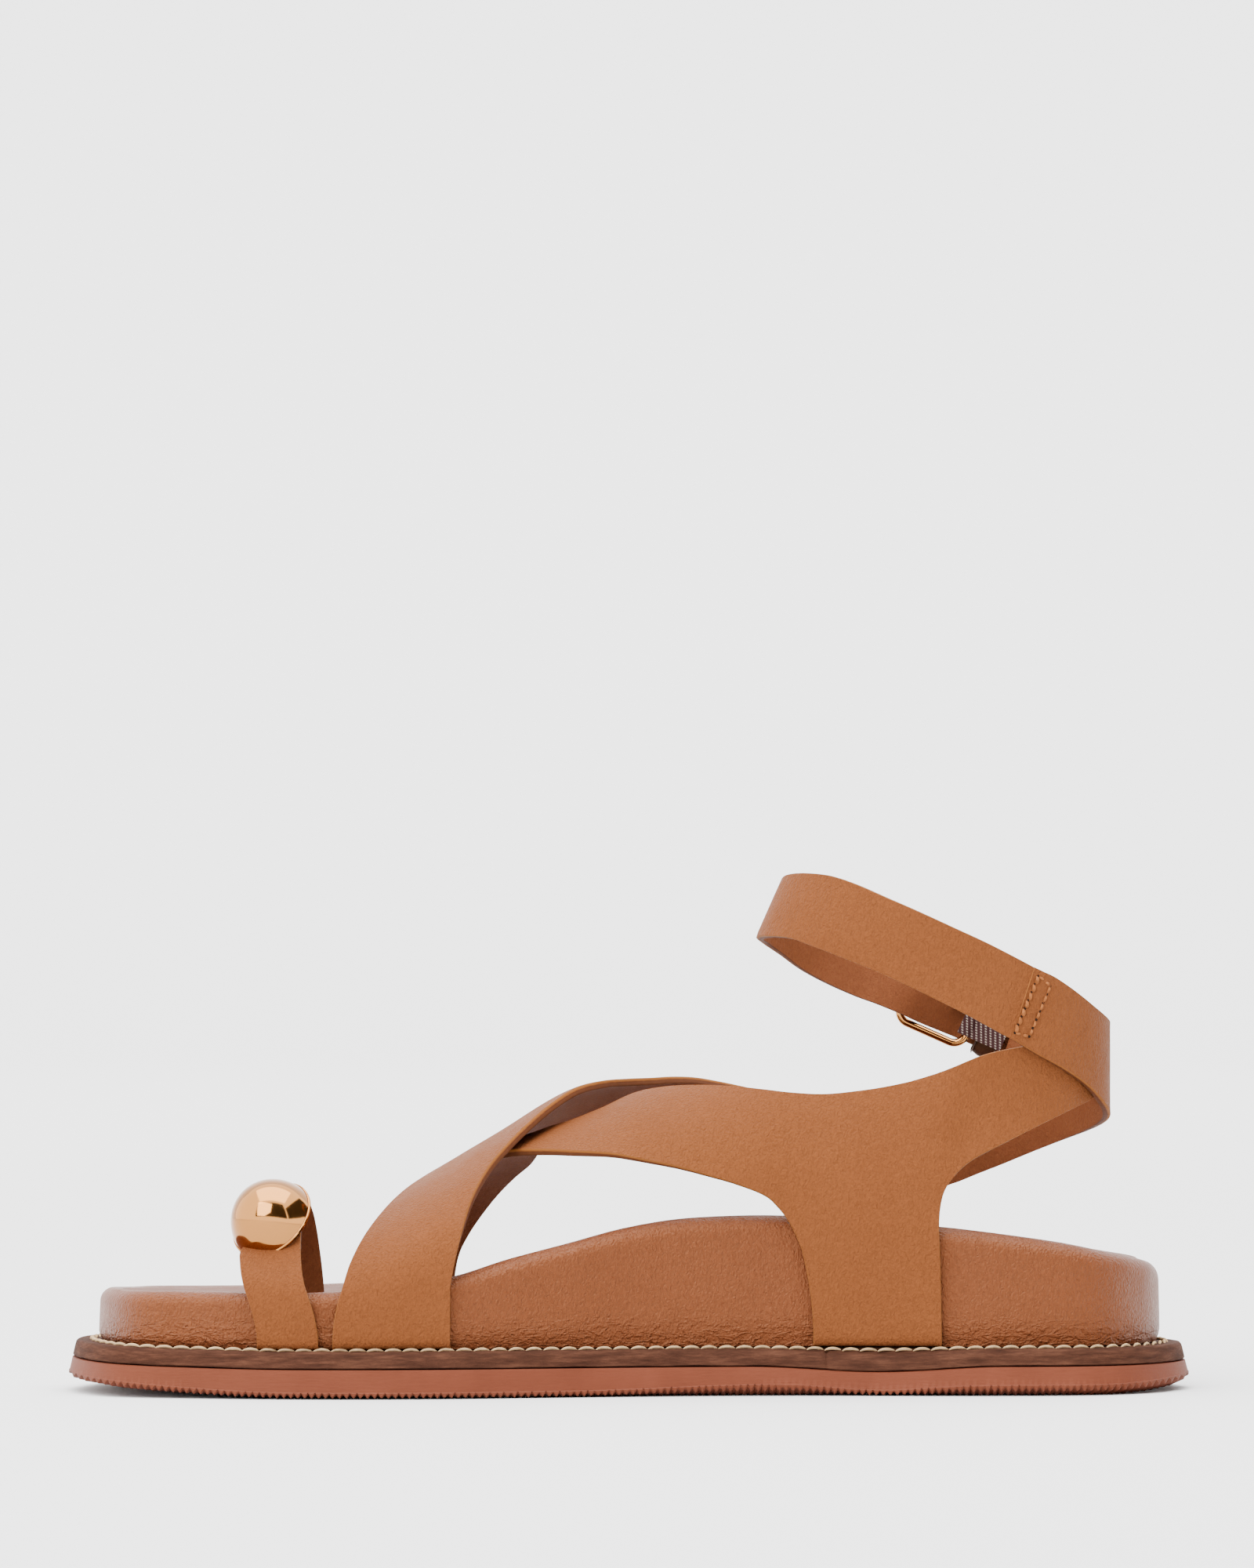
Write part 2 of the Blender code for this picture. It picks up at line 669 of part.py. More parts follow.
def ankle_point(turn, up, proud):
    # A point round the ankle: turn 0 is the back, -90 the inner and 90 the outer side.
    x = length_at(ANKLE_CENTRE_ALONG)
    z = up * ANKLE_RISE
    side = -1 if sin(radians(turn)) < 0 else 1
    rim = rim_height(x, side)
    rise = min(max((z - rim) / (ANKLE_LEAN_TOP - rim), 0.0), 1.0)
    rise = rise * rise * (3 - 2 * rise)
    sole_half = abs(wall_across(x, side, GAP + STRAP_WALL))
    half = sole_half + (ANKLE_WIDTH / 2 - sole_half) * rise + proud * STRAP_LAYER
    knee = ANKLE_FRONT - max(0.0, z - 1.067 * ANKLE_RISE) * ANKLE_FRONT_LEAN
    reach = ANKLE_BACK if cos(radians(turn)) > 0 else knee
    reach += proud * STRAP_LAYER
    cosine, sine = cos(radians(turn)), sin(radians(turn))
    dx = reach * abs(cosine) ** (2 / ANKLE_POWER) * (1 if cosine > 0 else -1)
    dy = half * abs(sine) ** (2 / ANKLE_POWER) * (1 if sine > 0 else -1)
    return Vector((x + dx, dy, z))


STRAP_COLUMNS = 4


def across_strap(place, first, second, *rest):
    made = []
    for i in range(STRAP_COLUMNS + 1):
        v = i / STRAP_COLUMNS
        made.append(place(*(a + (b - a) * v for a, b in zip(first, second)), *rest))
    return made


def ankle_at(place, proud):
    # The point round the outer side of the ankle at a given X and height.
    low, high = 0.0, 90.0
    for _ in range(30):
        turn = (low + high) / 2
        if ankle_point(turn, place.z / ANKLE_RISE, proud).x > place.x:
            low = turn
        else:
            high = turn
    return ankle_point(turn, place.z / ANKLE_RISE, proud)


def strap_surface(rows):
    # A surface over rows of points, made from a grid.
    across = len(rows[0]) - 1
    bm = bmesh.new()
    bmesh.ops.create_grid(bm, x_segments=across, y_segments=len(rows) - 1, size=0.5)
    bm.verts.ensure_lookup_table()
    places = [point for row in rows for point in row]
    for vert, place in zip(bm.verts, places):
        vert.co = place
    return bm


def foot_rows(top, bases, side):
    # A strap's end: down the footbed's wall, and turned in under it.
    wall = GAP + STRAP_WALL
    rows = []
    for share in (0.3, 0.62, 1.0):
        row = []
        for point, base in zip(top, bases):
            x = point.x + (base - point.x) * (1 - (1 - share) ** 2)
            low = footbed_base(x) + TAB_BEND
            y = wall_across(x, side, wall)
            row.append(Vector((x, y, point.z + (low - point.z) * share)))
        rows.append(row)
    for margin in (wall - TAB_BEND, -TAB_LENGTH):
        rows.append([Vector((x, wall_across(x, side, margin), footbed_base(x))) for x in bases])
    return rows


def quarter(name, side, arm, leg_top_rows, layers, rear, foot, collection):
    # One quarter: forward arm with its far end, leg and rear arm.
    rows = []
    for i, (fa, ft, ra, rt) in enumerate(arm + leg_top_rows):
        layer = layers[min(i, len(layers) - 1)]
        if i >= len(arm):
            layer = 0.0
        elif i >= len(arm) - 3:
            layer *= (len(arm) - i) / 4
        rows.append(across_strap(section_point, (fa, ft), (ra, rt), side, layer))
    first_leg = len(arm)
    last_leg = len(rows) - 1
    for lt, lu, ht, hu, proud in rear:
        rows.append(across_strap(ankle_point, (lt, lu, proud), (ht, hu, proud)))
    steps = 2
    made = smooth_rows(rows, steps)
    bases = [length_at(foot[0] + (foot[1] - foot[0]) * i / STRAP_COLUMNS)
             for i in range(STRAP_COLUMNS + 1)]
    far_end = foot_rows(made[0], bases, -side)
    bm = strap_surface(list(reversed(far_end)) + made)
    leg_top = [row[0] for row in made[first_leg * steps:last_leg * steps + 1]]
    count = len(leg_top) - 1
    bases = [length_at(LEG_FOOT_ALONG[0] + (LEG_FOOT_ALONG[1] - LEG_FOOT_ALONG[0]) * i / count)
             for i in range(count + 1)]
    leg = strap_surface([leg_top] + foot_rows(leg_top, bases, side))
    spare = bpy.data.meshes.new(name + "_leg")
    leg.to_mesh(spare)
    leg.free()
    bm.from_mesh(spare)
    bpy.data.meshes.remove(spare)
    bmesh.ops.remove_doubles(bm, verts=bm.verts, dist=1.0e-5)
    bmesh.ops.recalc_face_normals(bm, faces=bm.faces)
    bm.normal_update()
    face_outward(bm)
    thing = add_object(name, mesh_from(bm, name), TAN_LEATHER, collection)
    thicken(thing)
    return thing


def face_outward(bm):
    # Turns the surface so that its faces look away from the foot.
    total = 0.0
    for face in bm.faces:
        centre = face.calc_center_median()
        if centre.z > 1.5 * footbed_base(centre.x):
            inside = Vector((centre.x * 0.75, 0.0, centre.z * 0.8))
            total += face.normal.dot(centre - inside) * face.calc_area()
    if total < 0:
        bmesh.ops.reverse_faces(bm, faces=bm.faces)


def thicken(thing, wall=STRAP_WALL):
    modifier = thing.modifiers.new("wall", "SOLIDIFY")
    modifier.thickness = wall
    modifier.offset = -1.0
    modifier.use_even_offset = True
    modifier.use_quality_normals = True


def make_upper():
    under = quarter("upper", -1, UNDER_ARM, INNER_LEG_TOP,
                    (0.0,), UNDER_REAR, UNDER_ARM_FOOT_ALONG, parts)
    over = quarter("outer_quarter", 1, OVER_ARM, OUTER_LEG_TOP, OVER_ARM_LAYERS + (1.0,),
                   OVER_REAR, OVER_ARM_FOOT_ALONG, cutters)
    front = (section_point(0.345, 0.0, 1, 0.0) + section_point(0.345, 0.0, 1, 1.0)) / 2
    ahead = section_point(0.360, 0.0, 1, 0.0) - section_point(0.330, 0.0, 1, 0.0)
    size = Vector((JOIN_PAD_LENGTH, JOIN_PAD_LENGTH, STRAP_LAYER))
    front.z -= STRAP_WALL / 2
    pad = box("front_join", front, size, (0.0, -atan2(ahead.z, ahead.x), 0.0))
    join(under, pad)
    back = (ankle_point(0.0, 0.76, 0.0) + ankle_point(0.0, 0.76, 1.0)) / 2
    back.x -= STRAP_WALL / 2
    join(under, box("back_join", back, Vector((STRAP_LAYER, *[JOIN_PAD_LENGTH] * 2))))
    join(under, over)


def make_ankle_strap():
    low_turn, low_up, high_turn, high_up, proud = OVER_REAR[-1]
    seam = degrees(2.0 * GAP / ANKLE_BACK)
    start = (low_turn - seam, low_up, high_turn - seam, high_up, proud)
    rows = []
    for lt, lu, ht, hu, out in (start,) + LONG_STRAP:
        rows.append(across_strap(ankle_point, (lt, lu, out), (ht, hu, out)))
    bm = strap_surface(smooth_rows(rows, 2))
    bmesh.ops.recalc_face_normals(bm, faces=bm.faces)
    bm.normal_update()
    middle = Vector((length_at(ANKLE_CENTRE_ALONG), 0.0, ANKLE_RISE))
    if sum(f.normal.dot(f.calc_center_median() - middle) for f in bm.faces) < 0:
        bmesh.ops.reverse_faces(bm, faces=bm.faces)
    strap = add_object("ankle_strap", mesh_from(bm, "ankle_strap"), TAN_LEATHER)
    thicken(strap)
    cut(strap, prong_hole())


def loop_rows():
    rows = []
    for along, across, up, roll in LOOP:
        x, y, z = length_at(along), across * BALL_WIDTH, up * INSTEP_RISE
        drop = roll * LOOP_WIDTH / 2
        half = (LOOP_WIDTH / 2) * cos(asin(roll))
        rows.append([Vector((x - half, y, z - drop)), Vector((x, y, z)),
                     Vector((x + half, y, z + drop))])
    return rows


def make_toe_loop():
    rows = loop_rows()
    wall = GAP + STRAP_WALL
    rows[0] = [Vector((p.x, wall_across(p.x, -1, wall), p.z)) for p in rows[0]]
    made = smooth_rows(rows, 2)
    half = LOOP_WIDTH / 2
    bases = [length_at(LOOP_FOOT_ALONG) + step * half for step in (-1, 0, 1)]
    foot = foot_rows(made[0], bases, -1)
    bm = strap_surface(list(reversed(foot)) + made)
    bmesh.ops.recalc_face_normals(bm, faces=bm.faces)
    bm.normal_update()
    middle = Vector((length_at(LOOP[4][0]), -0.27 * BALL_WIDTH, 0.4 * INSTEP_RISE))
    faces = [f for f in bm.faces if f.calc_center_median().z > middle.z]
    if sum(f.normal.dot(f.calc_center_median() - middle) for f in faces) < 0:
        bmesh.ops.reverse_faces(bm, faces=bm.faces)
    loop = add_object("toe_loop", mesh_from(bm, "toe_loop"), TAN_LEATHER)
    thicken(loop)


def loop_slot(name):
    # The slot that the toe loop's inner end goes into.
    end = loop_rows()[-1][1]
    size = Vector((LOOP_WIDTH + 2 * POCKET_SPARE, STRAP_WALL + 3 * POCKET_SPARE, 0.0))
    bottom = SLOT_DEPTH_UP * INSTEP_RISE
    size.z = 2 * (INSTEP_RISE * LOOP[-2][2] - bottom)
    place = Vector((end.x, end.y - STRAP_WALL / 2, bottom + size.z / 2))
    return box(name, place, size)


def make_dome():
    rows = loop_rows()
    low = int(LOOP_DOME_ROW)
    t = LOOP_DOME_ROW - low
    around = [rows[low + k] for k in (-1, 0, 1, 2)]
    edges = [curve_between(*column, t) for column in zip(*around)]
    later = [curve_between(*column, t + 0.1) for column in zip(*around)]
    across = (edges[2] - edges[0]).normalized()
    path = (later[1] - edges[1]).normalized()
    axis = across.cross(path).normalized()
    if axis.z < 0:
        axis.negate()
    bm = bmesh.new()
    points = [(0.0, 0.0), (DOME_RADIUS, 0.0), (DOME_RADIUS, DOME_LIP)]
    crown = DOME_RADIUS - DOME_LIP / 2
    for turn in range(0, 90, 15):
        height = DOME_LIP * 1.5 + (DOME_HEIGHT - DOME_LIP * 1.5) * sin(radians(turn))
        points.append((crown * cos(radians(turn)), height))
    points.append((0.0, DOME_HEIGHT))
    verts = [bm.verts.new((r, 0.0, z)) for r, z in reversed(points)]
    for first, second in zip(verts, verts[1:]):
        bm.edges.new((first, second))
    dome = add_object("dome_ornament", mesh_from(bm, "dome_ornament", smooth=False), ROSE_GOLD)
    screw = dome.modifiers.new("turned", "SCREW")
    screw.steps = screw.render_steps = 28
    screw.use_merge_vertices = True
    screw.merge_threshold = 1.0e-5
    screw.use_smooth_shade = True
    dome.location = edges[1] + axis * GAP
    dome.rotation_mode = "QUATERNION"
    dome.rotation_quaternion = axis.to_track_quat("Z", "Y")


def buckle_frame_matrix():
    # Local X runs along the strap towards its tail, Y down across it, Z outward.
    place = Vector((length_at(BUCKLE_ALONG), 0.0, BUCKLE_UP * ANKLE_RISE))
    place.y = ankle_point(90.0, BUCKLE_UP, 0.0).y + BUCKLE_PROUD
    slope = radians(BUCKLE_SLOPE)
    run = Vector((cos(slope), 0.0, -sin(slope)))
    outward = Vector((0.0, 1.0, 0.0))
    across = outward.cross(run)
    matrix = Matrix((run, across, outward)).transposed().to_4x4()
    matrix.translation = place
    return matrix


def tube(name, points, radius, material, closed=False):
    # A bent wire through its points, made a mesh in the buckle's own frame.
    curve = bpy.data.curves.new(name, "CURVE")
    curve.dimensions = "3D"
    curve.bevel_depth = radius
    curve.bevel_resolution = 2
    curve.use_fill_caps = not closed
    spline = curve.splines.new("POLY")
    spline.points.add(len(points) - 1)
    for point, place in zip(spline.points, points):
        point.co = (*place, 1.0)
    spline.use_cyclic_u = closed
    thing = bpy.data.objects.new(name, curve)
    thing.matrix_world = buckle_frame_matrix()
    return keep_as_mesh(thing, name, material)


def keep_as_mesh(thing, name, material):
    parts.objects.link(thing)
    bpy.context.view_layer.update()
    graph = bpy.context.evaluated_depsgraph_get()
    mesh = bpy.data.meshes.new_from_object(thing.evaluated_get(graph))
    place = thing.matrix_world.copy()
    bpy.data.objects.remove(thing, do_unlink=True)
    bm = bmesh.new()
    bm.from_mesh(mesh)
    bmesh.ops.remove_doubles(bm, verts=bm.verts, dist=1.0e-6)
    bmesh.ops.recalc_face_normals(bm, faces=bm.faces)
    bm.normal_update()
    bm.to_mesh(mesh)
    bm.free()
    mesh.shade_smooth()
    mesh.set_sharp_from_angle(angle=radians(40.0))
    made = add_object(name, mesh, material)
    made.matrix_world = place
    return made


def rounded_rectangle(length, width, corner, steps=4):
    points = []
    for quadrant in range(4):
        cx = (length / 2 - corner) * (1 if quadrant in (0, 3) else -1)
        cy = (width / 2 - corner) * (1 if quadrant in (0, 1) else -1)
        for step in range(steps + 1):
            angle = pi / 2 * (quadrant + step / steps)
            points.append((cx + corner * cos(angle), cy + corner * sin(angle)))
    return points


def make_buckle():
    outline = rounded_rectangle(FRAME_LENGTH, FRAME_WIDTH, FRAME_CORNER)
    tube("buckle_frame", [(x, y, 0.0) for x, y in outline], BAR_RADIUS, ROSE_GOLD, True)
    reach = BAR_RADIUS + GAP + PRONG_RADIUS
    hinge, front = FRAME_LENGTH / 2, -FRAME_LENGTH / 2
    points = [(front - PRONG_RADIUS, 0.0, reach * 0.96), (front, 0.0, reach)]
    points.append((0.0, 0.0, reach * 1.05))
    for turn in range(90, -181, -30):
        points.append((hinge + reach * cos(radians(turn)), 0.0, reach * sin(radians(turn))))
    tube("buckle_prong", points, PRONG_RADIUS, ROSE_GOLD)


def prong_hole():
    # The slot in the strap that the prong passes through.
    size = Vector((0.0075, 2 * (PRONG_RADIUS + GAP) + GAP, 0.012))
    hole = box("prong_hole_cutter", Vector(), size)
    place = buckle_frame_matrix() @ Matrix.Translation((-0.0002, 0.0, 0.001))
    hole.matrix_world = place
    return hole


def flat_outline(name, outlines, depth, material, turn):
    curve = bpy.data.curves.new(name, "CURVE")
    curve.dimensions = "2D"
    curve.fill_mode = "BOTH"
    curve.extrude = depth / 2
    for outline in outlines:
        spline = curve.splines.new("POLY")
        spline.points.add(len(outline) - 1)
        for point, place in zip(spline.points, outline):
            point.co = (*place, 0.0, 1.0)
        spline.use_cyclic_u = True
    thing = bpy.data.objects.new(name, curve)
    thing.matrix_world = buckle_frame_matrix() @ turn
    return keep_as_mesh(thing, name, material)


def make_elastic():
    # The elastic is folded round the hinge bar, and its two ends lie together.
    hinge = FRAME_LENGTH / 2
    hole = BAR_RADIUS + GAP
    sleeve = hole + ELASTIC_WALL
    low_turn, low_up, high_turn, high_up, proud = UNDER_REAR[-1]
    local = buckle_frame_matrix().inverted()
    ends = [local @ ankle_point(*end, proud) for end in ((low_turn, low_up), (high_turn, high_up))]
    tail = min(end.x for end in ends) - 2 * GAP
    back = (ends[0].z + ends[1].z - STRAP_WALL) / 2
    outline = [(tail, back + ELASTIC_WALL), (tail, back - ELASTIC_WALL)]
    for turn in range(-60, -301, -20):
        outline.append((hinge + sleeve * cos(radians(turn)), sleeve * sin(radians(turn))))
    ring = [(hinge + hole * cos(2 * pi * i / 16), hole * sin(2 * pi * i / 16)) for i in range(16)]
    stand = Matrix(((1, 0, 0, 0), (0, 0, -1, 0), (0, 1, 0, 0), (0, 0, 0, 1)))
    elastic = flat_outline("buckle_elastic", [outline, ring], ELASTIC_WIDTH, WOVEN_ELASTIC, stand)
    notch = 2 * (BAR_RADIUS + 2 * PRONG_RADIUS + 3 * GAP)
    slit = box("elastic_slit_cutter", Vector(), Vector((notch, 2 * (PRONG_RADIUS + GAP), notch)))
    slit.matrix_world = buckle_frame_matrix() @ Matrix.Translation((hinge, 0.0, 0.0))
    cut(elastic, slit)


def make_keeper():
    frame = buckle_frame_matrix()
    place = FRAME_LENGTH / 2 + BAR_RADIUS + 0.0043
    at = frame @ Vector((place, 0.0, 0.0))
    high = (frame.inverted() @ ankle_at(at, STRAP_OVER_BUCKLE)).z + 3 * GAP
    low = (frame.inverted() @ ankle_at(at, 0.0)).z - STRAP_WALL / 2 - ELASTIC_WALL - 3 * GAP
    width = LONG_STRAP_WIDTH + 4 * GAP
    middle = (low + high) / 2
    hole = rounded_rectangle(width, high - low, 0.0008, 2)
    ring = rounded_rectangle(width + 2 * KEEPER_WALL, high - low + 2 * KEEPER_WALL, 0.0018, 2)
    outlines = [[(x, y + middle) for x, y in points] for points in (ring, hole)]
    face = Matrix(((0, 0, 1, place), (1, 0, 0, 0), (0, 1, 0, 0), (0, 0, 0, 1)))
    flat_outline("strap_keeper", outlines, KEEPER_LENGTH, BROWN_LEATHER, face)


make_outsole()
make_welt()
make_footbed()
make_insole()
make_upper()
make_toe_loop()
make_dome()
make_ankle_strap()
make_buckle()
make_elastic()
make_keeper()
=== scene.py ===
from bisect import bisect_right
from functools import lru_cache
from math import asin, cos, pi, radians, sin

import bmesh
import bpy
from mathutils import Matrix, Vector, noise


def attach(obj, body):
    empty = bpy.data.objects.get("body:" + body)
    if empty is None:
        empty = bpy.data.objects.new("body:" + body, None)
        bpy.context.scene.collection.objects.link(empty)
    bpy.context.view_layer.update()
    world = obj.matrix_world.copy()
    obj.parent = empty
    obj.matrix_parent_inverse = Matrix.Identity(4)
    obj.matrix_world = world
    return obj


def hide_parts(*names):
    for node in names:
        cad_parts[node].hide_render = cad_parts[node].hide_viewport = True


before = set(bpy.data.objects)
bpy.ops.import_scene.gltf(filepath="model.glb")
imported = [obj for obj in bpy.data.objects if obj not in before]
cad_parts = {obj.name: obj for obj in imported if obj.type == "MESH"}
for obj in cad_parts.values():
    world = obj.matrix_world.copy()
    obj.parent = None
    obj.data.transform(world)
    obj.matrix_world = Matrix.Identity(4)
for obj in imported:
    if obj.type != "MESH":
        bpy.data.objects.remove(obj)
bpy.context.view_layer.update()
print("frame loaded")

# Sizes are in metres and angles in degrees. Along is a share of the footbed's length, from
# the toe. Across is a share of the ball width. Heights are shares of the arch height on the
# footbed, of the instep rise on the straps and of the ankle rise round the ankle.
shoe = {
    "length": 0.2504,
    "ballWidth": 0.0870,
    "toeEnd": -0.1252,
    "gap": 0.0003,
    "toeSpring": 0.0033,
    "toeSpringLength": 0.054,
    "toeSpringPower": 1.6,
    "heelSpring": 0.0016,
    "heelSpringLength": 0.024,
    "toeLift": 0.0013,
    "instepRise": 0.0730,
    "toeTip": -0.090,
    "endRound": 0.33,
}

# The sole's plan: along, and how far the medial and lateral walls stand out.
planTable = (
    (0.03, 0.375, 0.235), (0.1, 0.455, 0.365), (0.2, 0.5, 0.45),
    (0.31, 0.49, 0.5), (0.43, 0.42, 0.478), (0.56, 0.35, 0.43),
    (0.7, 0.328, 0.385), (0.83, 0.345, 0.365), (0.93, 0.31, 0.325),
    (0.98, 0.185, 0.195),
)

topColumns = ("along", "medial", "centre", "lateral")
topTable = (
    (0, 0.398, 0.382, 0.366), (0.1, 0.427, 0.381, 0.371), (0.22, 0.437, 0.376, 0.386),
    (0.334, 0.545, 0.4, 0.42), (0.39, 0.68, 0.43, 0.48), (0.446, 0.8, 0.475, 0.55),
    (0.5, 0.915, 0.52, 0.61), (0.557, 0.985, 0.56, 0.66), (0.65, 1, 0.6, 0.69),
    (0.79, 0.915, 0.59, 0.715), (0.889, 0.815, 0.57, 0.7), (0.946, 0.735, 0.57, 0.65),
    (1, 0.645, 0.575, 0.6),
)


def read(rows, columns, name, at):
    # A smooth curve through one column of a table, read at a share of the length.
    keys = [row[0] for row in rows]
    values = [row[columns.index(name)] for row in rows]
    at = min(max(at, keys[0]), keys[-1])
    low = min(bisect_right(keys, at) - 1, len(keys) - 2)

    def slope(i):
        before, after = max(i - 1, 0), min(i + 1, len(keys) - 1)
        return (values[after] - values[before]) / (keys[after] - keys[before])

    span = keys[low + 1] - keys[low]
    t = (at - keys[low]) / span
    start = (2 * t**3 - 3 * t**2 + 1) * values[low] + (t**3 - 2 * t**2 + t) * span * slope(low)
    end = (3 * t**2 - 2 * t**3) * values[low + 1] + (t**3 - t**2) * span * slope(low + 1)
    return start + end


def curveBetween(before, start, end, after, t):
    return 0.5 * (
        2.0 * start
        + (end - before) * t
        + (2.0 * before - 5.0 * start + 4.0 * end - after) * t**2
        + (3.0 * start - before - 3.0 * end + after) * t**3
    )


def smoothRows(rows, steps, closed=False):
    # Rows of points, with new rows between them on a smooth curve.
    count = len(rows)
    made = []
    for i in range(count if closed else count - 1):
        for step in range(steps):
            t = step / steps
            if closed:
                around = [rows[(i + k) % count] for k in (-1, 0, 1, 2)]
            else:
                around = [rows[min(max(i + k, 0), count - 1)] for k in (-1, 0, 1, 2)]
            made.append([curveBetween(*column, t) for column in zip(*around)])
    if not closed:
        made.append(list(rows[-1]))
    return made


def lengthAt(along):
    return shoe["toeEnd"] + along * shoe["length"]


def alongAt(x):
    return (x - shoe["toeEnd"]) / shoe["length"]


@lru_cache(maxsize=None)
def planRing(margin, planSteps=12):
    # The footbed's plan, moved outward by a margin. Points run from the toe along
    # the inner side to the heel and back along the outer side, in like pairs.
    inner = [Vector((lengthAt(a), -m * shoe["ballWidth"])) for a, m, _ in planTable]
    outer = [Vector((lengthAt(a), l * shoe["ballWidth"])) for a, _, l in planTable]
    toe = Vector((lengthAt(0.0), shoe["toeTip"] * shoe["ballWidth"]))
    heel = Vector((lengthAt(1.0), 0.0))
    rows = [[toe]] + [[p] for p in inner] + [[heel]] + [[p] for p in reversed(outer)]
    ring = [row[0] for row in smoothRows(rows, planSteps, closed=True)]
    count = len(ring)
    moved = []
    for i, point in enumerate(ring):
        run = (ring[(i + 1) % count] - ring[i - 1]).normalized()
        moved.append(point + Vector((-run.y, run.x)) * -margin)
    return moved


def wallAcross(x, side, margin):
    # Y of the footbed's wall plan, moved outward by a margin, at a place X.
    ring = planRing(margin)
    half = len(ring) // 2
    chain = ring[: half + 1] if side < 0 else list(reversed(ring[half:] + ring[:1]))
    x = min(max(x, chain[0].x), chain[-1].x)
    for start, end in zip(chain, chain[1:]):
        if start.x <= x <= end.x:
            return start.y + (end.y - start.y) * (x - start.x) / max(end.x - start.x, 1e-9)
    return chain[-1].y


def innerRing(margin, share, planSteps):
    # The plan ring drawn in towards the sole's middle line.
    ring = planRing(margin, planSteps)
    reach = shoe["ballWidth"] * shoe["endRound"]
    low, high = lengthAt(0.0) + reach, lengthAt(1.0) - reach
    drawn = []
    for i, point in enumerate(ring):
        middle = Vector((min(max(point.x, low), high), (point.y + ring[-i].y) / 2))
        drawn.append(middle + (point - middle) * share)
    return drawn


def raised(points, height):
    # Plan points with the height that a function of X gives them.
    return [Vector((p.x, p.y, height(p.x))) for p in points]


def toeShare(x):
    front = shoe["toeEnd"] - outsole["margin"]
    share = max(0.0, (front + shoe["toeSpringLength"] - x) / shoe["toeSpringLength"])
    return share ** shoe["toeSpringPower"]


def heelShare(x):
    back = shoe["toeEnd"] + shoe["length"] + outsole["margin"]
    return max(0.0, (x - back + shoe["heelSpringLength"]) / shoe["heelSpringLength"]) ** 2


def legDip(x):
    # How far the welt and the outsole's edge dip under the quarters' legs.
    middle = lengthAt(sum(legFootAlong) / 2)
    reach = (legFootAlong[1] - legFootAlong[0]) * shoe["length"]
    near = max(0.0, 1.0 - abs((x - middle) / reach))
    return welt["dip"] * near * near * (3.0 - 2.0 * near)


def outsoleBottom(x):
    return shoe["toeSpring"] * toeShare(x) + shoe["heelSpring"] * heelShare(x)


def outsoleTop(x):
    return outsole["edge"] + shoe["toeLift"] * toeShare(x)


def weltTop(x):
    return outsoleTop(x) + shoe["gap"] + welt["height"]


def footbedBase(x):
    return weltTop(x) + shoe["gap"]


def topHeight(x, column):
    return footbedBase(x) + footbed["archHeight"] * read(topTable, topColumns, column, alongAt(x))


def rimHeight(x, side):
    return topHeight(x, "medial" if side < 0 else "lateral")


def blendedRim(point):
    # The rim changes from the inner to the outer height round the toe and heel.
    half = wallAcross(point.x, 1, 0.0) if point.y > 0 else -wallAcross(point.x, -1, 0.0)
    blend = 0.5 + 0.5 * max(-1.0, min(1.0, point.y / max(half, shoe["ballWidth"] * 0.2)))
    inner, outer = rimHeight(point.x, -1), rimHeight(point.x, 1)
    blend = blend * blend * (3 - 2 * blend)
    return inner + (outer - inner) * blend


def sockRings(depth, shares, inset, planSteps):
    # Rings of the sock's surface, dished from the rim to the middle line.
    margin = -footbed["sockMargin"]
    rims = [blendedRim(p) - shoe["gap"] for p in planRing(margin, planSteps)]
    rings = []
    for share in shares:
        ring = []
        for point, rim in zip(innerRing(margin - inset, share, planSteps), rims):
            middle = topHeight(point.x, "centre")
            height = middle + (rim - middle) * share ** footbed["dish"] - depth
            ring.append(Vector((point.x, point.y, height)))
        rings.append(ring)
    return rings


def joinRings(bm, rings, closed=False, capped=False):
    # Faces between rings of like vertices.
    pairs = list(zip(rings, rings[1:])) + ([(rings[-1], rings[0])] if closed else [])
    for low, high in pairs:
        for i in range(len(low)):
            j = (i + 1) % len(low)
            bm.faces.new((low[i], low[j], high[j], high[i]))
    if capped:
        bm.faces.new(rings[0])
        bm.faces.new(list(reversed(rings[-1])))


def loft(rings, closedSection=False):
    # A solid through rings of like points; open ends are closed across the sole.
    bm = bmesh.new()
    rows = [[bm.verts.new(point) for point in ring] for ring in rings]
    joinRings(bm, rows, closedSection)
    count = len(rows[0])
    half = count // 2
    for row in [] if closedSection else (rows[0][:1] + rows[0][:0:-1], rows[-1]):
        bm.faces.new((row[0], row[1], row[count - 1]))
        for i in range(1, half - 1):
            bm.faces.new((row[i], row[i + 1], row[count - i - 1], row[count - i]))
        bm.faces.new((row[half - 1], row[half], row[half + 1]))
    bmesh.ops.recalc_face_normals(bm, faces=bm.faces)
    bm.normal_update()
    return bm


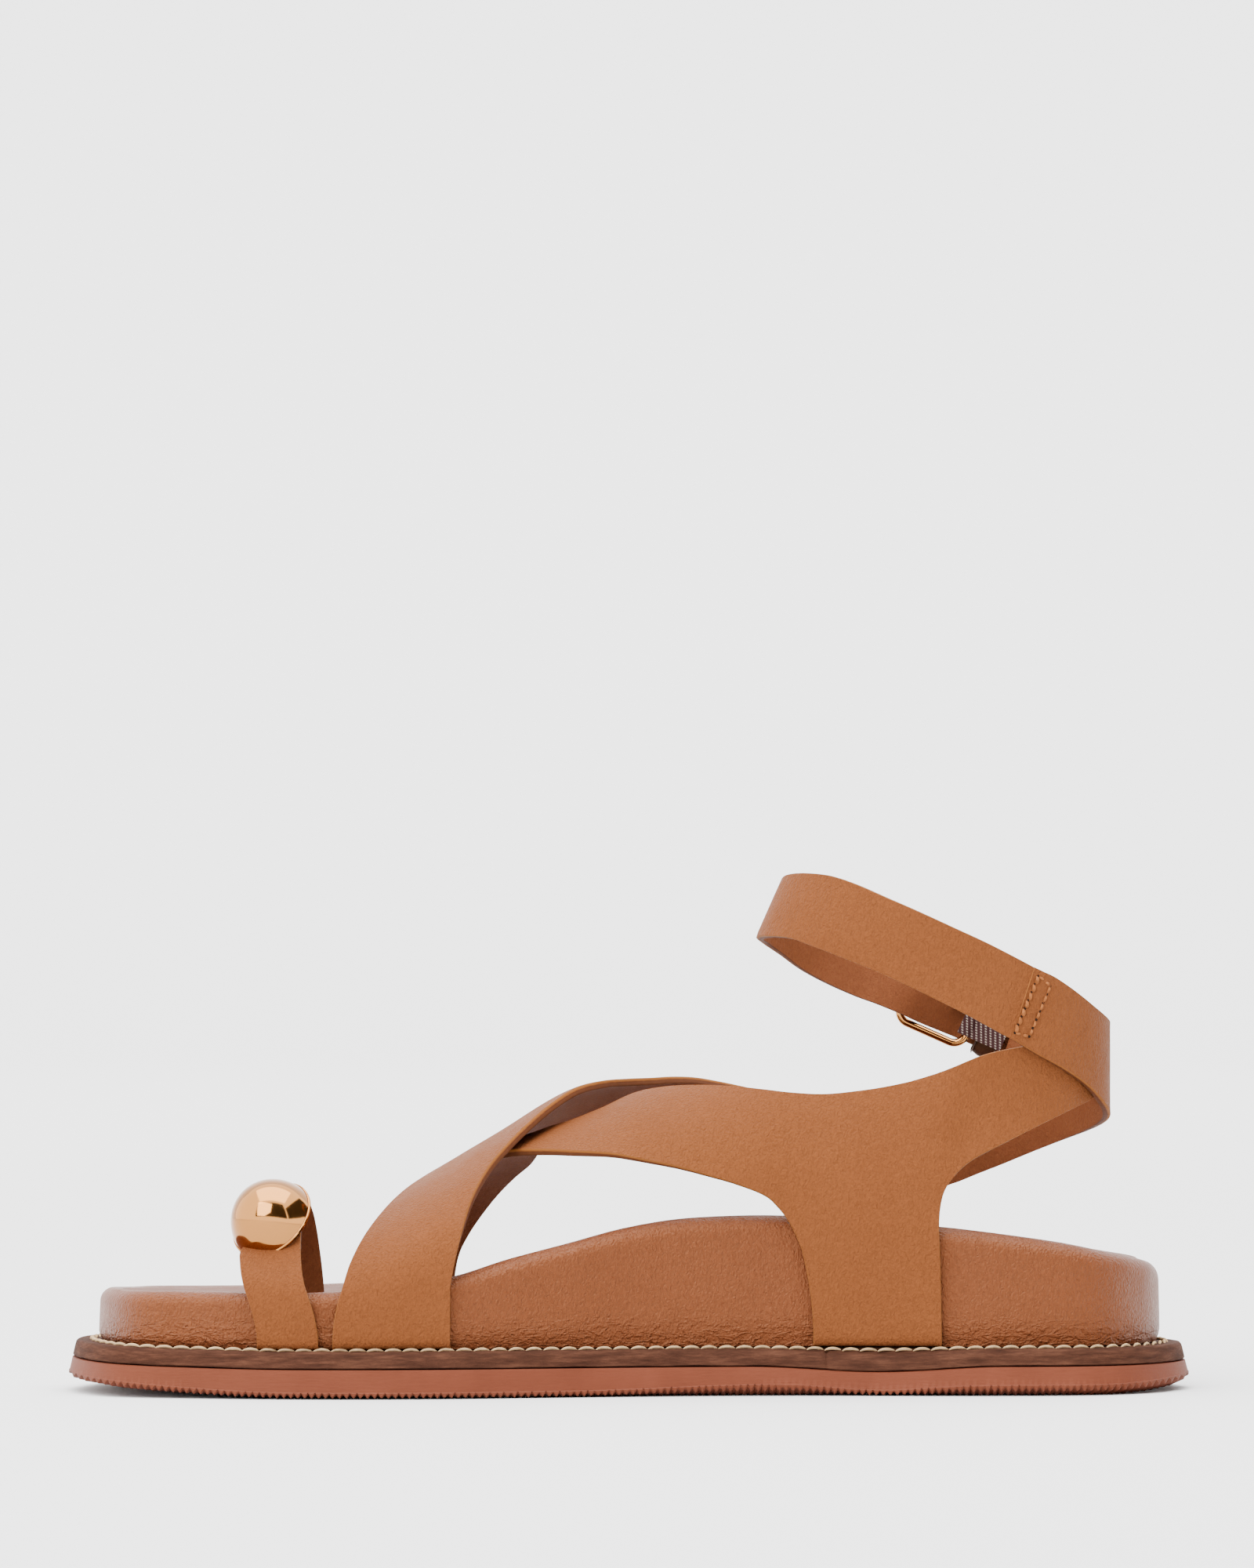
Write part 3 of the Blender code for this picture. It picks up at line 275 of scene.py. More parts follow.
class Look:
    # A material made from Object coordinates or a piece's own attributes.
    def __init__(self, name, constants):
        self.material = bpy.data.materials.new(name)
        self.material.use_nodes = True
        self.tree = self.material.node_tree
        self.shader = self.tree.nodes["Principled BSDF"]
        for key, value in constants.items():
            self.shader.inputs[key].default_value = value

    def node(self, kind, inputs=None, **settings):
        made = self.tree.nodes.new("ShaderNode" + kind)
        for key, value in settings.items():
            setattr(made, key, value)
        for key, value in (inputs or {}).items():
            if isinstance(value, bpy.types.NodeSocket):
                self.tree.links.new(value, made.inputs[key])
            else:
                made.inputs[key].default_value = value
        return made

    def link(self, name, output):
        self.tree.links.new(output, self.shader.inputs[name])

    def place(self, stretch=(1.0, 1.0, 1.0)):
        place = self.node("TexCoord").outputs["Object"]
        return self.node("Mapping", {"Vector": place, "Scale": stretch}).outputs[0]

    def cloud(self, place, scale, detail, **more):
        inputs = {"Vector": place, "Scale": scale, "Detail": detail, **more}
        return self.node("TexNoise", inputs).outputs["Fac"]

    def attribute(self, name):
        return self.node("Attribute", attribute_name=name).outputs["Fac"]

    def maths(self, operation, first, second=0.0):
        return self.node("Math", {0: first, 1: second}, operation=operation).outputs[0]

    def colours(self, factor, stops):
        made = self.node("ValToRGB", {"Fac": factor})
        ramp = made.color_ramp
        while len(ramp.elements) < len(stops):
            ramp.elements.new(0.5)
        for element, (position, colour) in zip(ramp.elements, stops):
            element.position = position
            element.color = (*colour, 1.0)
        return made.outputs["Color"]

    def bump(self, height, strength, distance, **more):
        inputs = {"Height": height, "Strength": strength, "Distance": distance, **more}
        return self.node("Bump", inputs).outputs["Normal"]


def leather(name, look):
    # Mottled tone, a pebbled grain of small cells, fine pores and a soft uneven sheen.
    made = Look(name, {"Roughness": look["roughness"], "Specular IOR Level": look["specular"],
                       "Specular Tint": (1.0, 0.52, 0.27, 1.0)})
    place = made.place()
    mottle = made.cloud(place, 38.0, 5.0, Roughness=0.62)
    tone = made.colours(mottle, tuple(zip((0.30, 0.50, 0.72), look["tones"])))
    cells = made.cloud(made.place((1.0, 1.0, 0.55)), look["grain"], 1.5, Distortion=0.9)
    pores = made.node("TexVoronoi", {"Vector": place, "Scale": look["grain"] * 1.1})
    soft = made.cloud(place, 160.0, 3.0)
    pebble = made.colours(cells, [(0.34, (0.90,) * 3), (0.50, (1.0,) * 3), (0.66, (1.07,) * 3)])
    shaded = made.node("VectorMath", {0: tone, 1: pebble}, operation="MULTIPLY")
    made.link("Base Color", shaded.outputs[0])
    uneven = made.maths("MULTIPLY", soft, 0.22)
    made.link("Roughness", made.maths("ADD", uneven, look["roughness"] - 0.11))
    sunk = made.maths("MULTIPLY", pores.outputs["Distance"], 0.3)
    fine = made.bump(made.maths("SUBTRACT", cells, sunk), look["depth"], 0.0005)
    normal = made.bump(soft, look.get("wave", 0.12), 0.0012, Normal=fine)
    if "creases" in look:
        # Short creases where the leather is drawn in over the lower edge.
        drawn = made.cloud(made.place((1.0, 1.0, 2.6)), 230.0, 3.0, Distortion=0.5)
        thin = made.colours(drawn, [(0.40, (0.0,) * 3), (0.50, (1.0,) * 3), (0.60, (0.0,) * 3)])
        height = made.maths("MULTIPLY", thin, made.attribute("low"))
        normal = made.bump(height, look["creases"], 0.0012, Normal=normal)
    made.link("Normal", normal)
    return made.material


def rawEdge():
    # A cut edge of two bonded layers: orange skins, paler fibres and a dark bond line.
    made = Look("raw_edge", {"Roughness": 0.72, "Specular IOR Level": 0.12})
    across = made.attribute("edge")
    fuzz = made.cloud(made.place(), 900.0, 4.0)
    shift = made.maths("ADD", across, made.maths("MULTIPLY_ADD", fuzz, 0.12))
    stops = [(0.04, (0.12, 0.034, 0.008)), (0.20, (0.25, 0.092, 0.020)),
             (0.42, (0.19, 0.066, 0.014)), (0.52, (0.06, 0.018, 0.006)),
             (0.62, (0.19, 0.066, 0.014)), (0.86, (0.17, 0.056, 0.012)),
             (1.0, (0.07, 0.021, 0.007))]
    made.link("Base Color", made.colours(shift, stops))
    made.link("Normal", made.bump(fuzz, 0.5, 0.0003))
    return made.material


def rubberMaterial():
    made = Look("terracotta_rubber", {"Roughness": 0.62, "Specular IOR Level": 0.2,
                                      "Specular Tint": (1.0, 0.6, 0.45, 1.0)})
    place = made.place()
    tones = ((0.088, 0.0218, 0.0104), (0.100, 0.0256, 0.0126), (0.111, 0.0292, 0.0150))
    mottle = made.cloud(place, 90.0, 6.0)
    made.link("Base Color", made.colours(mottle, tuple(zip((0.30, 0.55, 0.75), tones))))
    fine = made.maths("MULTIPLY", made.cloud(place, 1600.0, 3.0), 0.4)
    streak = made.cloud(made.place((1.0, 1.0, 9.0)), 220.0, 3.0)
    made.link("Normal", made.bump(made.maths("ADD", fine, streak), 0.25, 0.0004))
    return made.material


def weltMaterial():
    # Cut leather on its side: greyish brown with long fibres and paler scuffs.
    made = Look("welt_leather", {"Roughness": 0.75, "Specular IOR Level": 0.05})
    fibres = made.cloud(made.place((1.0, 1.0, 7.0)), 130.0, 8.0, Roughness=0.7)
    stops = [(0.28, (0.019, 0.0066, 0.0036)), (0.50, (0.040, 0.0150, 0.0084)),
             (0.66, (0.067, 0.0265, 0.0148)), (0.80, (0.105, 0.045, 0.026))]
    made.link("Base Color", made.colours(fibres, stops))
    made.link("Normal", made.bump(fibres, 0.55, 0.0006))
    return made.material


def threadMaterial(name, tones):
    made = Look(name, {"Roughness": 0.75, "Specular IOR Level": 0.1})
    twist = made.cloud(made.place(), 800.0, 3.0)
    made.link("Base Color", made.colours(twist, tuple(zip((0.3, 0.7), tones))))
    made.link("Normal", made.bump(twist, 0.5, 0.0002))
    return made.material


def goldMaterial():
    made = Look("pale_gold", {"Metallic": 1.0, "Base Color": (0.37, 0.160, 0.045, 1.0)})
    haze = made.maths("MULTIPLY", made.cloud(made.place(), 260.0, 5.0), 0.09)
    made.link("Roughness", made.maths("ADD", haze, 0.055))
    return made.material


weave = {
    "alongPitch": 0.00111,
    "alongShare": 0.20,
    "fallPitch": 0.00063,
    "fallShare": 0.30,
    "brown": (0.026, 0.0075, 0.0075),
    "dot": (0.20, 0.155, 0.13),
}


def weaveMaterial():
    # Brown elastic with rows of pale dots, turned to lie along the strap.
    made = Look("woven_elastic", {"Roughness": 0.8, "Specular IOR Level": 0.15})
    parts = made.node("SeparateXYZ", {"Vector": made.place()}).outputs
    slope = made.maths("MULTIPLY", parts["X"], sin(radians(buckle["slope"])))

    def rows(value, pitch, share):
        part = made.maths("FRACT", made.maths("DIVIDE", value, pitch))
        middle = made.maths("ABSOLUTE", made.maths("SUBTRACT", part, 0.5))
        return made.maths("LESS_THAN", middle, share)

    along = rows(parts["X"], weave["alongPitch"], weave["alongShare"])
    fall = made.maths("ADD", parts["Z"], slope)
    dot = made.maths("MULTIPLY", along, rows(fall, weave["fallPitch"], weave["fallShare"]))
    made.link("Base Color", made.colours(dot, [(0.0, weave["brown"]), (1.0, weave["dot"])]))
    made.link("Normal", made.bump(dot, 0.5, 0.0002))
    return made.material


tanLook = {
    "tones": ((0.117, 0.0366, 0.0118), (0.123, 0.0388, 0.0126), (0.129, 0.0410, 0.0134)),
    "roughness": 0.58, "grain": 1700.0, "depth": 0.8, "specular": 0.09,
}
footbedLook = {
    "tones": ((0.090, 0.0242, 0.0088), (0.096, 0.0262, 0.0096), (0.102, 0.0282, 0.0104)),
    "roughness": 0.38, "grain": 1600.0, "depth": 0.8, "specular": 0.34,
    "wave": 0.2, "creases": 0.45,
}
sockLook = {
    "tones": ((0.072, 0.0190, 0.0070), (0.085, 0.0232, 0.0086), (0.097, 0.0270, 0.0100)),
    "roughness": 0.52, "grain": 1700.0, "depth": 0.4, "specular": 0.15,
}
liningLook = {
    "tones": ((0.132, 0.0420, 0.0170), (0.148, 0.0475, 0.0195), (0.164, 0.0530, 0.0220)),
    "roughness": 0.75, "grain": 2300.0, "depth": 0.5, "specular": 0.12,
}
# The keeper's dark tones are painted shade: a darker copy of the strap leather for the shade it
# lies in.
keeperPaintedShadeLook = {
    "tones": ((0.022, 0.0075, 0.0042), (0.032, 0.0110, 0.0060), (0.043, 0.0150, 0.0082)),
    "roughness": 0.55, "grain": 1700.0, "depth": 0.3, "specular": 0.2,
}


def newObject(name, bm, materials):
    mesh = bpy.data.meshes.new(name)
    bm.to_mesh(mesh)
    bm.free()
    for material in materials:
        mesh.materials.append(material)
    thing = bpy.data.objects.new(name, mesh)
    bpy.context.scene.collection.objects.link(thing)
    return thing


def addPiece(name, bm, materials, replaced, sharp):
    thing = newObject(name, bm, materials)
    thing.data.shade_smooth()
    thing.data.set_sharp_from_angle(angle=radians(sharp))
    if replaced:
        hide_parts(replaced)
    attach(thing, "root")
    print(name, len(thing.data.polygons), "faces")


outsole = {
    "edge": 0.0068,
    "margin": 0.0069,
    "flare": 0.0009,
    "treadStep": 0.0011,
    "edgeInset": 0.0035,
    "toothPitch": 0.00162,
    "toothDepth": 0.00115,
    "fine": 84,
}

edgeColumns = ("along", "lift")
edgeTable = (
    (0, 0.06), (0.45, 0.05), (0.64, 0.22), (0.732, 0.02),
    (0.82, 0.18), (1, 0.19),
)


def makeOutsole():
    # The bottom edge carries fine cross teeth, cut right across the tread.
    margin, flare, rise = outsole["margin"], outsole["flare"], outsole["treadStep"]
    inset = margin - outsole["edgeInset"]
    step = margin - flare * 0.25
    corner = 0.0003

    def lift(x):
        return outsole["edge"] * read(edgeTable, edgeColumns, "lift", alongAt(x))

    def bottom(lifted, extra, teeth):
        def height(x):
            phase = (x / outsole["toothPitch"]) % 1.0
            tooth = outsole["toothDepth"] * teeth * abs(2 * phase - 1.0)
            return outsoleBottom(x) + lift(x) * lifted + extra + tooth
        return height

    def side(share):
        def height(x):
            low = outsoleBottom(x) + lift(x) + rise + corner
            return low + (outsoleTop(x) - legDip(x) - low) * share
        return height

    heights = [(inset, bottom(0.0, 0.0, 0.5)), (margin - corner, bottom(0.8, 0.0, 1.0)),
               (margin, bottom(1.0, 0.0004, 0.85)), (margin, bottom(1.0, rise, 0.1)),
               (step, side(0.0))]
    heights += [(step + (margin - flare - step) * share, side(share))
                for share in (0.45, 0.75, 0.95)]
    heights += [(margin - flare - corner, side(1.0)), (-welt["under"], outsoleTop)]
    fine = outsole["fine"]
    rings = [raised(planRing(out, fine), height) for out, height in heights]
    inside = raised(innerRing(inset, 0.45, fine), outsoleBottom)
    top = raised(innerRing(-welt["under"], 0.45, fine), outsoleTop)
    bm = loft([inside] + rings + [top])
    addPiece("outsole_rubber", bm, [rubberMaterial()], "outsole", 30.0)


welt = {
    "height": 0.0038,
    "margin": 0.0050,
    "slope": 0.0009,
    "under": 0.0080,
    "jointAlong": 0.682,
    "jointDepth": 0.0012,
    "jointReach": 0.00045,
    "dip": 0.0013,
    "wave": 0.00012,
    "stitchMargin": 0.0014,
    "stitchPitch": 0.00415,
    "thread": 0.00043,
}
weltProfile = ((0.0, 0.8), (0.06, 1.0), (0.35, 0.72), (0.65, 0.45), (0.86, 0.15), (0.97, -0.25))


def makeWelt():
    # A rounded leather strip; it dips a little under each leg and is butted at its joint.
    joint = lengthAt(welt["jointAlong"])
    low = lambda x: outsoleTop(x) + shoe["gap"]

    def flat(margin, share):
        return raised(planRing(margin, 40), lambda x: low(x) + welt["height"] * share)

    def ring(margin, share):
        made = []
        for p in planRing(margin, 40):
            place = Vector((p.x * 160, p.y * 160, share * 3))
            near = max(0.0, 1 - abs(p.x - joint) / welt["jointReach"]) if p.y < 0 else 0.0
            groove = welt["jointDepth"] * near
            height = (welt["height"] - groove) * share + welt["wave"] * noise.noise(place)
            made.append(Vector((p.x, p.y + groove, low(p.x) - legDip(p.x) + height)))
        return made

    margin, slope, under = welt["margin"], welt["slope"], -welt["under"]
    rings = [flat(under, 0.0), flat(0.0, 0.0)]
    rings += [ring(margin + slope * out, share) for share, out in weltProfile]
    rings += [ring(margin - 0.0006, 1.0), ring(margin * 0.5, 1.0)]
    rings += [flat(0.0, 1.0), flat(under, 1.0)]
    addPiece("welt_strip", loft(rings, True), [weltMaterial()], "welt", 40.0)


def stitch(bm, start, end, up, radius, twist, sag):
    # One stitch: a plump thread that dives into its holes at both ends.
    run = end - start
    side = up.cross(run).normalized()
    rings = []
    for k in range(9):
        t = k / 8
        fat = radius * (0.35 + 0.65 * sin(pi * t) ** 0.5)
        centre = start + run * t + up * radius * (1.1 * sin(pi * t) ** 0.7 - sag)
        centre += side * twist * (t - 0.5)
        turns = [2 * pi * j / 8 for j in range(8)]
        rings.append([bm.verts.new(centre + side * fat * cos(a) + up * fat * sin(a) * 0.9)
                      for a in turns])
    joinRings(bm, rings, capped=True)


def evenPlaces(points, pitch):
    # Places at an even pitch round a closed path.
    made = []
    left = 0.0
    for start, end in zip(points, points[1:] + points[:1]):
        length = (end - start).length
        while left <= length:
            made.append(start.lerp(end, left / max(length, 1e-9)))
            left += pitch
        left -= length
    return made


def makeWeltStitches():
    bm = bmesh.new()
    path = raised(planRing(welt["stitchMargin"], 24), lambda x: weltTop(x) - 0.5 * legDip(x))
    places = evenPlaces(path, welt["stitchPitch"])
    up = Vector((0.0, 0.0, 1.0))
    for start, end in zip(places, places[1:] + places[:1]):
        gap = (end - start) * 0.01
        if (end - start).length < 0.006:
            stitch(bm, start + gap, end - gap, up, welt["thread"], 0.0009, 0.2)
    bmesh.ops.recalc_face_normals(bm, faces=bm.faces)
    thread = threadMaterial("cream_thread", ((0.26, 0.165, 0.085), (0.44, 0.300, 0.165)))
    addPiece("welt_stitches", bm, [thread], None, 60.0)


footbed = {
    "archHeight": 0.0304,
    "draft": 0.0004,
    "toeRound": 0.0033,
    "heelRound": 0.0046,
    "sockMargin": 0.0056,
    "sockThickness": 0.0012,
    "dish": 2.2,
    "lowCorner": 0.0009,
    "drawnHeight": 0.008,
    "wave": 0.00025,
}


def makeFootbed():
    fine = 24
    under = -welt["under"] - shoe["gap"]
    base, tight = planRing(0.0, fine), planRing(-1.0e-3, fine)
    low = lambda x: outsoleTop(x) + shoe["gap"]
    rings = [raised(innerRing(under, 0.45, fine), low), raised(planRing(under, fine), low),
             raised(planRing(under, fine), footbedBase), raised(tight, footbedBase)]
    edges = []
    for point, inside in zip(base, tight):
        share = min(max(alongAt(point.x), 0.0), 1.0)
        radius = footbed["toeRound"] + (footbed["heelRound"] - footbed["toeRound"]) * share
        edges.append((point, (inside - point).normalized(), blendedRim(point), radius))
    for share in [k / 12 for k in range(13)]:
        ring = []
        for point, away, rim, radius in edges:
            bottom = footbedBase(point.x)
            corner = footbed["lowCorner"] * (1 - min(1.0, share * 5)) ** 2
            place = point + away * (footbed["draft"] * share + corner)
            height = bottom + (rim - radius - bottom) * share ** 0.9
            ring.append(Vector((place.x, place.y, height)))
        rings.append(ring)
    for turn in range(10, 91, 10):
        ring = []
        for point, away, rim, radius in edges:
            place = point + away * (footbed["draft"] + radius * (1 - cos(radians(turn))))
            ring.append(Vector((place.x, place.y, rim - radius * (1 - sin(radians(turn))))))
        rings.append(ring)
    recess = footbed["sockThickness"] + shoe["gap"]
    rings += sockRings(0.0, (1.0,), 0.0, fine)
    rings += sockRings(recess, (1.0, 0.8, 0.5, 0.22), 0.0, fine)
    bm = loft(rings)
    mask = bm.verts.layers.float.new("low")
    for vert in bm.verts:
        height = vert.co.z - footbedBase(vert.co.x)
        vert[mask] = max(0.0, 1.0 - height / footbed["drawnHeight"])
        if vert.normal.z < 0.9 and height > 0.0004:
            vert.co += vert.normal * footbed["wave"] * noise.noise(vert.co * 45)
    material = leather("footbed_leather", footbedLook)
    addPiece("footbed_leather", bm, [material], "footbed", 50.0)


def makeInsole():
    close, fine, depth = 0.00003, 16, footbed["sockThickness"]
    rings = sockRings(depth, (0.22, 0.6, 1.0), close, fine)
    rings += sockRings(depth * 0.4, (1.0,), close, fine)
    rings += sockRings(0.00006, (0.998,), close, fine)
    rings += sockRings(0.0, (0.985, 0.92, 0.82, 0.7, 0.55, 0.4, 0.22), close, fine)
    material = leather("sock_leather", sockLook)
    addPiece("insole_sock", loft(rings), [material], "insole", 50.0)


strap = {
    "wall": 0.0018,
    "layer": 0.0024,
    "longWidth": 0.0142,
    "overBuckle": 2.75,
    "sectionPower": 2.2,
    "tabLength": 0.0070,
    "tabBend": 0.0015,
    "bulge": 0.00014,
    "columns": 12,
    "steps": 6,
}

# A strap's cut edge, from the face to the lining: share of the wall, and its bulge.
edgeProfile = ((0.0, 0.0), (0.06, 0.5), (0.17, 0.9), (0.33, 1.0), (0.47, 0.7), (0.54, 0.7),
               (0.68, 1.0), (0.84, 0.85), (0.95, 0.4), (1.0, 0.0))

ankle = {
    "width": 0.0490,
    "back": 0.0366,
    "front": 0.0451,
    "frontLean": 0.446,
    "kneeUp": 1.067,
    "centreAlong": 0.7995,
    "rise": 0.1000,
    "power": 2.1,
    "leanTop": 0.0780,
}

crestColumns = ("along", "under", "over")
crestTable = (
    (0.2, 0.48, 0.51), (0.24, 0.541, 0.575), (0.272, 0.593, 0.63),
    (0.3, 0.644, 0.677), (0.32, 0.678, 0.712), (0.352, 0.744, 0.779),
    (0.384, 0.799, 0.844), (0.416, 0.836, 0.915), (0.448, 0.879, 0.975),
    (0.48, 0.929, 0.997), (0.508, 0.973, 1.003), (0.536, 0.998, 1.02),
    (0.604, 1.064, 1.075), (0.7, 1.15, 1.18), (0.8, 1.329, 1.36),
    (0.86, 1.438, 1.466),
)

# Forward arms and tops of the legs: along and turn of the front edge, then of the rear
# edge. The turn goes from the crest to the rim, negative on the quarter's own side.
underArm = (
    (0.233, 88, 0.33, 88), (0.24, 66, 0.335, 75), (0.25, 50, 0.344, 66),
    (0.268, 32, 0.356, 58), (0.288, 16, 0.371, 50), (0.31, 4, 0.388, 43),
    (0.334, -6, 0.405, 36), (0.358, -13, 0.414, 24), (0.384, -20, 0.418, 10),
    (0.415, -30, 0.424, -2), (0.448, -41, 0.445, -9), (0.482, -51, 0.474, -12),
    (0.514, -60, 0.503, -12), (0.545, -66, 0.53, -15), (0.572, -71, 0.56, -23),
    (0.6, -75.5, 0.592, -31), (0.629, -80.5, 0.62, -37),
)
overArm = (
    (0.233, 80, 0.333, 88), (0.24, 62, 0.337, 78), (0.252, 46, 0.344, 64),
    (0.269, 30, 0.353, 50), (0.287, 15, 0.367, 37), (0.306, 4, 0.384, 28),
    (0.328, -5, 0.402, 20.5), (0.352, -12, 0.425, 13), (0.38, -19, 0.449, 7),
    (0.412, -29, 0.474, 1), (0.447, -42, 0.498, -5), (0.482, -49, 0.52, -10),
    (0.514, -54, 0.54, -15), (0.545, -59, 0.561, -21), (0.572, -63, 0.582, -27),
    (0.6, -67.5, 0.604, -33), (0.629, -72, 0.626, -38),
)
innerLegTop = (
    (0.652, -87, 0.65, -42), (0.679, -86, 0.68, -45.5), (0.706, -85, 0.708, -47.5),
    (0.733, -84, 0.738, -49.5), (0.76, -83, 0.768, -50.8), (0.787, -81.5, 0.8, -51),
)
outerLegTop = (
    (0.652, -77, 0.65, -42), (0.679, -77, 0.68, -45.5), (0.706, -77, 0.708, -47.5),
    (0.733, -77.3, 0.738, -49.5), (0.76, -77.6, 0.768, -51.8), (0.787, -78, 0.8, -53),
)
overArmLayers = (0.0, 0.35, 0.8, 1.0)
legFootAlong = (0.672, 0.790)
underArmFootAlong = (0.225, 0.329)
overArmFootAlong = (0.225, 0.333)

# Rear arms and ankle strap: turn and height of the lower edge, then of the upper edge,
# and how many strap layers they stand out. The turn goes round the ankle from the back,
# negative on the inner side.
underRear = (
    (-88, 0.525, -80, 0.79, 0), (-82, 0.555, -71, 0.802, 0),
    (-73, 0.582, -62, 0.811, 0), (-64, 0.608, -53, 0.819, 0),
    (-53, 0.635, -43, 0.827, 0), (-41, 0.66, -33, 0.835, 0),
    (-27, 0.68, -20, 0.843, 0), (-11, 0.698, -5, 0.851, 0),
    (6, 0.715, 10, 0.861, 0), (22, 0.732, 26, 0.874, 0),
    (38, 0.742, 37, 0.882, 0), (53, 0.757, 48, 0.894, 0),
    (68, 0.77, 60, 0.905, 0),
)
overRear = (
    (88, 0.473, 80, 0.742, 0.4), (82, 0.491, 71, 0.752, 1),
    (73, 0.512, 62, 0.771, 1), (64, 0.536, 53, 0.795, 1),
    (53, 0.562, 43, 0.817, 1), (41, 0.585, 31, 0.836, 1),
    (28, 0.605, 18, 0.85, 1), (13, 0.625, 3, 0.858, 1),
    (-3, 0.648, -13, 0.873, 1), (-18, 0.675, -28, 0.9, 1),
    (-31.5, 0.718, -40, 0.936, 1), (-46, 0.757, -50, 0.968, 1),
    (-59, 0.794, -56.5, 0.985, 1), (-69.5, 0.832, -60.5, 0.996, 1),
)
longStrap = (
    (-76, 0.854, -70, 1.026, 1), (-84, 0.884, -79, 1.056, 1),
    (-93, 0.921, -89, 1.089, 0.9), (-102, 0.958, -99, 1.127, 0.7),
    (-112, 0.992, -110, 1.16, 0.5), (-122, 1.019, -122, 1.19, 0.3),
    (-133, 1.044, -135, 1.21, 0.1), (-146, 1.066, -150, 1.216, 0),
    (-162, 1.07, -166, 1.213, 0), (-180, 1.064, -180, 1.202, 0),
    (-196, 1.048, -196, 1.186, 0), (-210, 1.02, -210, 1.164, 0),
    (-221, 0.985, -222, 1.134, 0), (-232, 0.952, -234, 1.103, 0),
    (-242.5, 0.922, -248.5, 1.059, 0), (-249, 0.904, -257, 1.033, -0.35),
    (-254, 0.889, -262, 1.016, -0.5), (-258, 0.877, -266.5, 1.001, -0.3),
    (-262, 0.864, -271, 0.987, 0.5), (-267, 0.847, -276, 0.971, 1.7),
    (-272, 0.827, -281, 0.951, 2.6), (-278, 0.806, -287, 0.93, strap["overBuckle"]),
    (-286, 0.78, -294, 0.908, 2.6), (-295, 0.76, -302, 0.888, 2.3),
    (-304, 0.744, -309, 0.872, 2.1), (-309.5, 0.757, -312.5, 0.851, 2.05),
)


def sectionPoint(along, turn, side, layer):
    # A point on the instep: turn goes from the crest (0) down to the rim (90).
    x = lengthAt(along)
    over, under = (read(crestTable, crestColumns, name, along) * shoe["instepRise"]
                   for name in ("over", "under"))
    crest = under + (over - under) * layer
    face = -side if turn > 0 else side
    sine = abs(sin(radians(turn))) ** (2 / strap["sectionPower"])
    cosine = abs(cos(radians(turn))) ** (2 / strap["sectionPower"])
    reach = abs(wallAcross(x, face, shoe["gap"] + strap["wall"] + layer * strap["layer"]))
    rim = rimHeight(x, face) - footbed["toeRound"]
    return Vector((x, face * reach * sine, rim + (crest - rim) * cosine))


def anklePoint(turn, up, proud):
    # A point round the ankle: turn 0 is the back, -90 the inner and 90 the outer side.
    x = lengthAt(ankle["centreAlong"])
    z = up * ankle["rise"]
    cosine, sine = cos(radians(turn)), sin(radians(turn))
    side = -1 if sine < 0 else 1
    rim = rimHeight(x, side)
    rise = min(max((z - rim) / (ankle["leanTop"] - rim), 0.0), 1.0)
    rise = rise * rise * (3 - 2 * rise)
    soleHalf = abs(wallAcross(x, side, shoe["gap"] + strap["wall"]))
    half = soleHalf + (ankle["width"] / 2 - soleHalf) * rise + proud * strap["layer"]
    lean = max(0.0, z - ankle["kneeUp"] * ankle["rise"]) * ankle["frontLean"]
    reach = ankle["back"] if cosine > 0 else ankle["front"] - lean
    reach += proud * strap["layer"]
    dx = reach * abs(cosine) ** (2 / ankle["power"]) * (1 if cosine > 0 else -1)
    dy = half * abs(sine) ** (2 / ankle["power"]) * (1 if sine > 0 else -1)
    return Vector((x + dx, dy, z))


def ankleTurn(x, z, side, proud):
    # The turn at which an X and a height meet on one side of the ankle.
    low, high = 0.0, 90.0
    for _ in range(30):
        turn = (low + high) / 2
        if anklePoint(side * turn, z / ankle["rise"], proud).x > x:
            low = turn
        else:
            high = turn
    return side * turn


def acrossStrap(place, first, second, *rest):
    shares = [i / strap["columns"] for i in range(strap["columns"] + 1)]
    return [place(*(a + (b - a) * v for a, b in zip(first, second)), *rest) for v in shares]


def ankleRows(rows):
    return [acrossStrap(anklePoint, (lt, lu, out), (ht, hu, out)) for lt, lu, ht, hu, out in rows]


def asPoints(rows):
    return [[Vector(point) for point in row] for row in rows]


def relaxRows(rows, first, last, passes):
    for _ in range(passes):
        before = rows
        rows = [list(row) for row in before]
        for i in range(first, last):
            around = zip(before[i - 1], before[i], before[i + 1])
            rows[i] = [(a + b * 2 + c) / 4 for a, b, c in around]
    return rows


def strapSurface(rows):
    # A surface over rows of points, made from a grid.
    across = len(rows[0]) - 1
    bm = bmesh.new()
    bmesh.ops.create_grid(bm, x_segments=across, y_segments=len(rows) - 1, size=0.5)
    bm.verts.ensure_lookup_table()
    places = [point for row in rows for point in row]
    for vert, place in zip(bm.verts, places):
        vert.co = place
    return bm


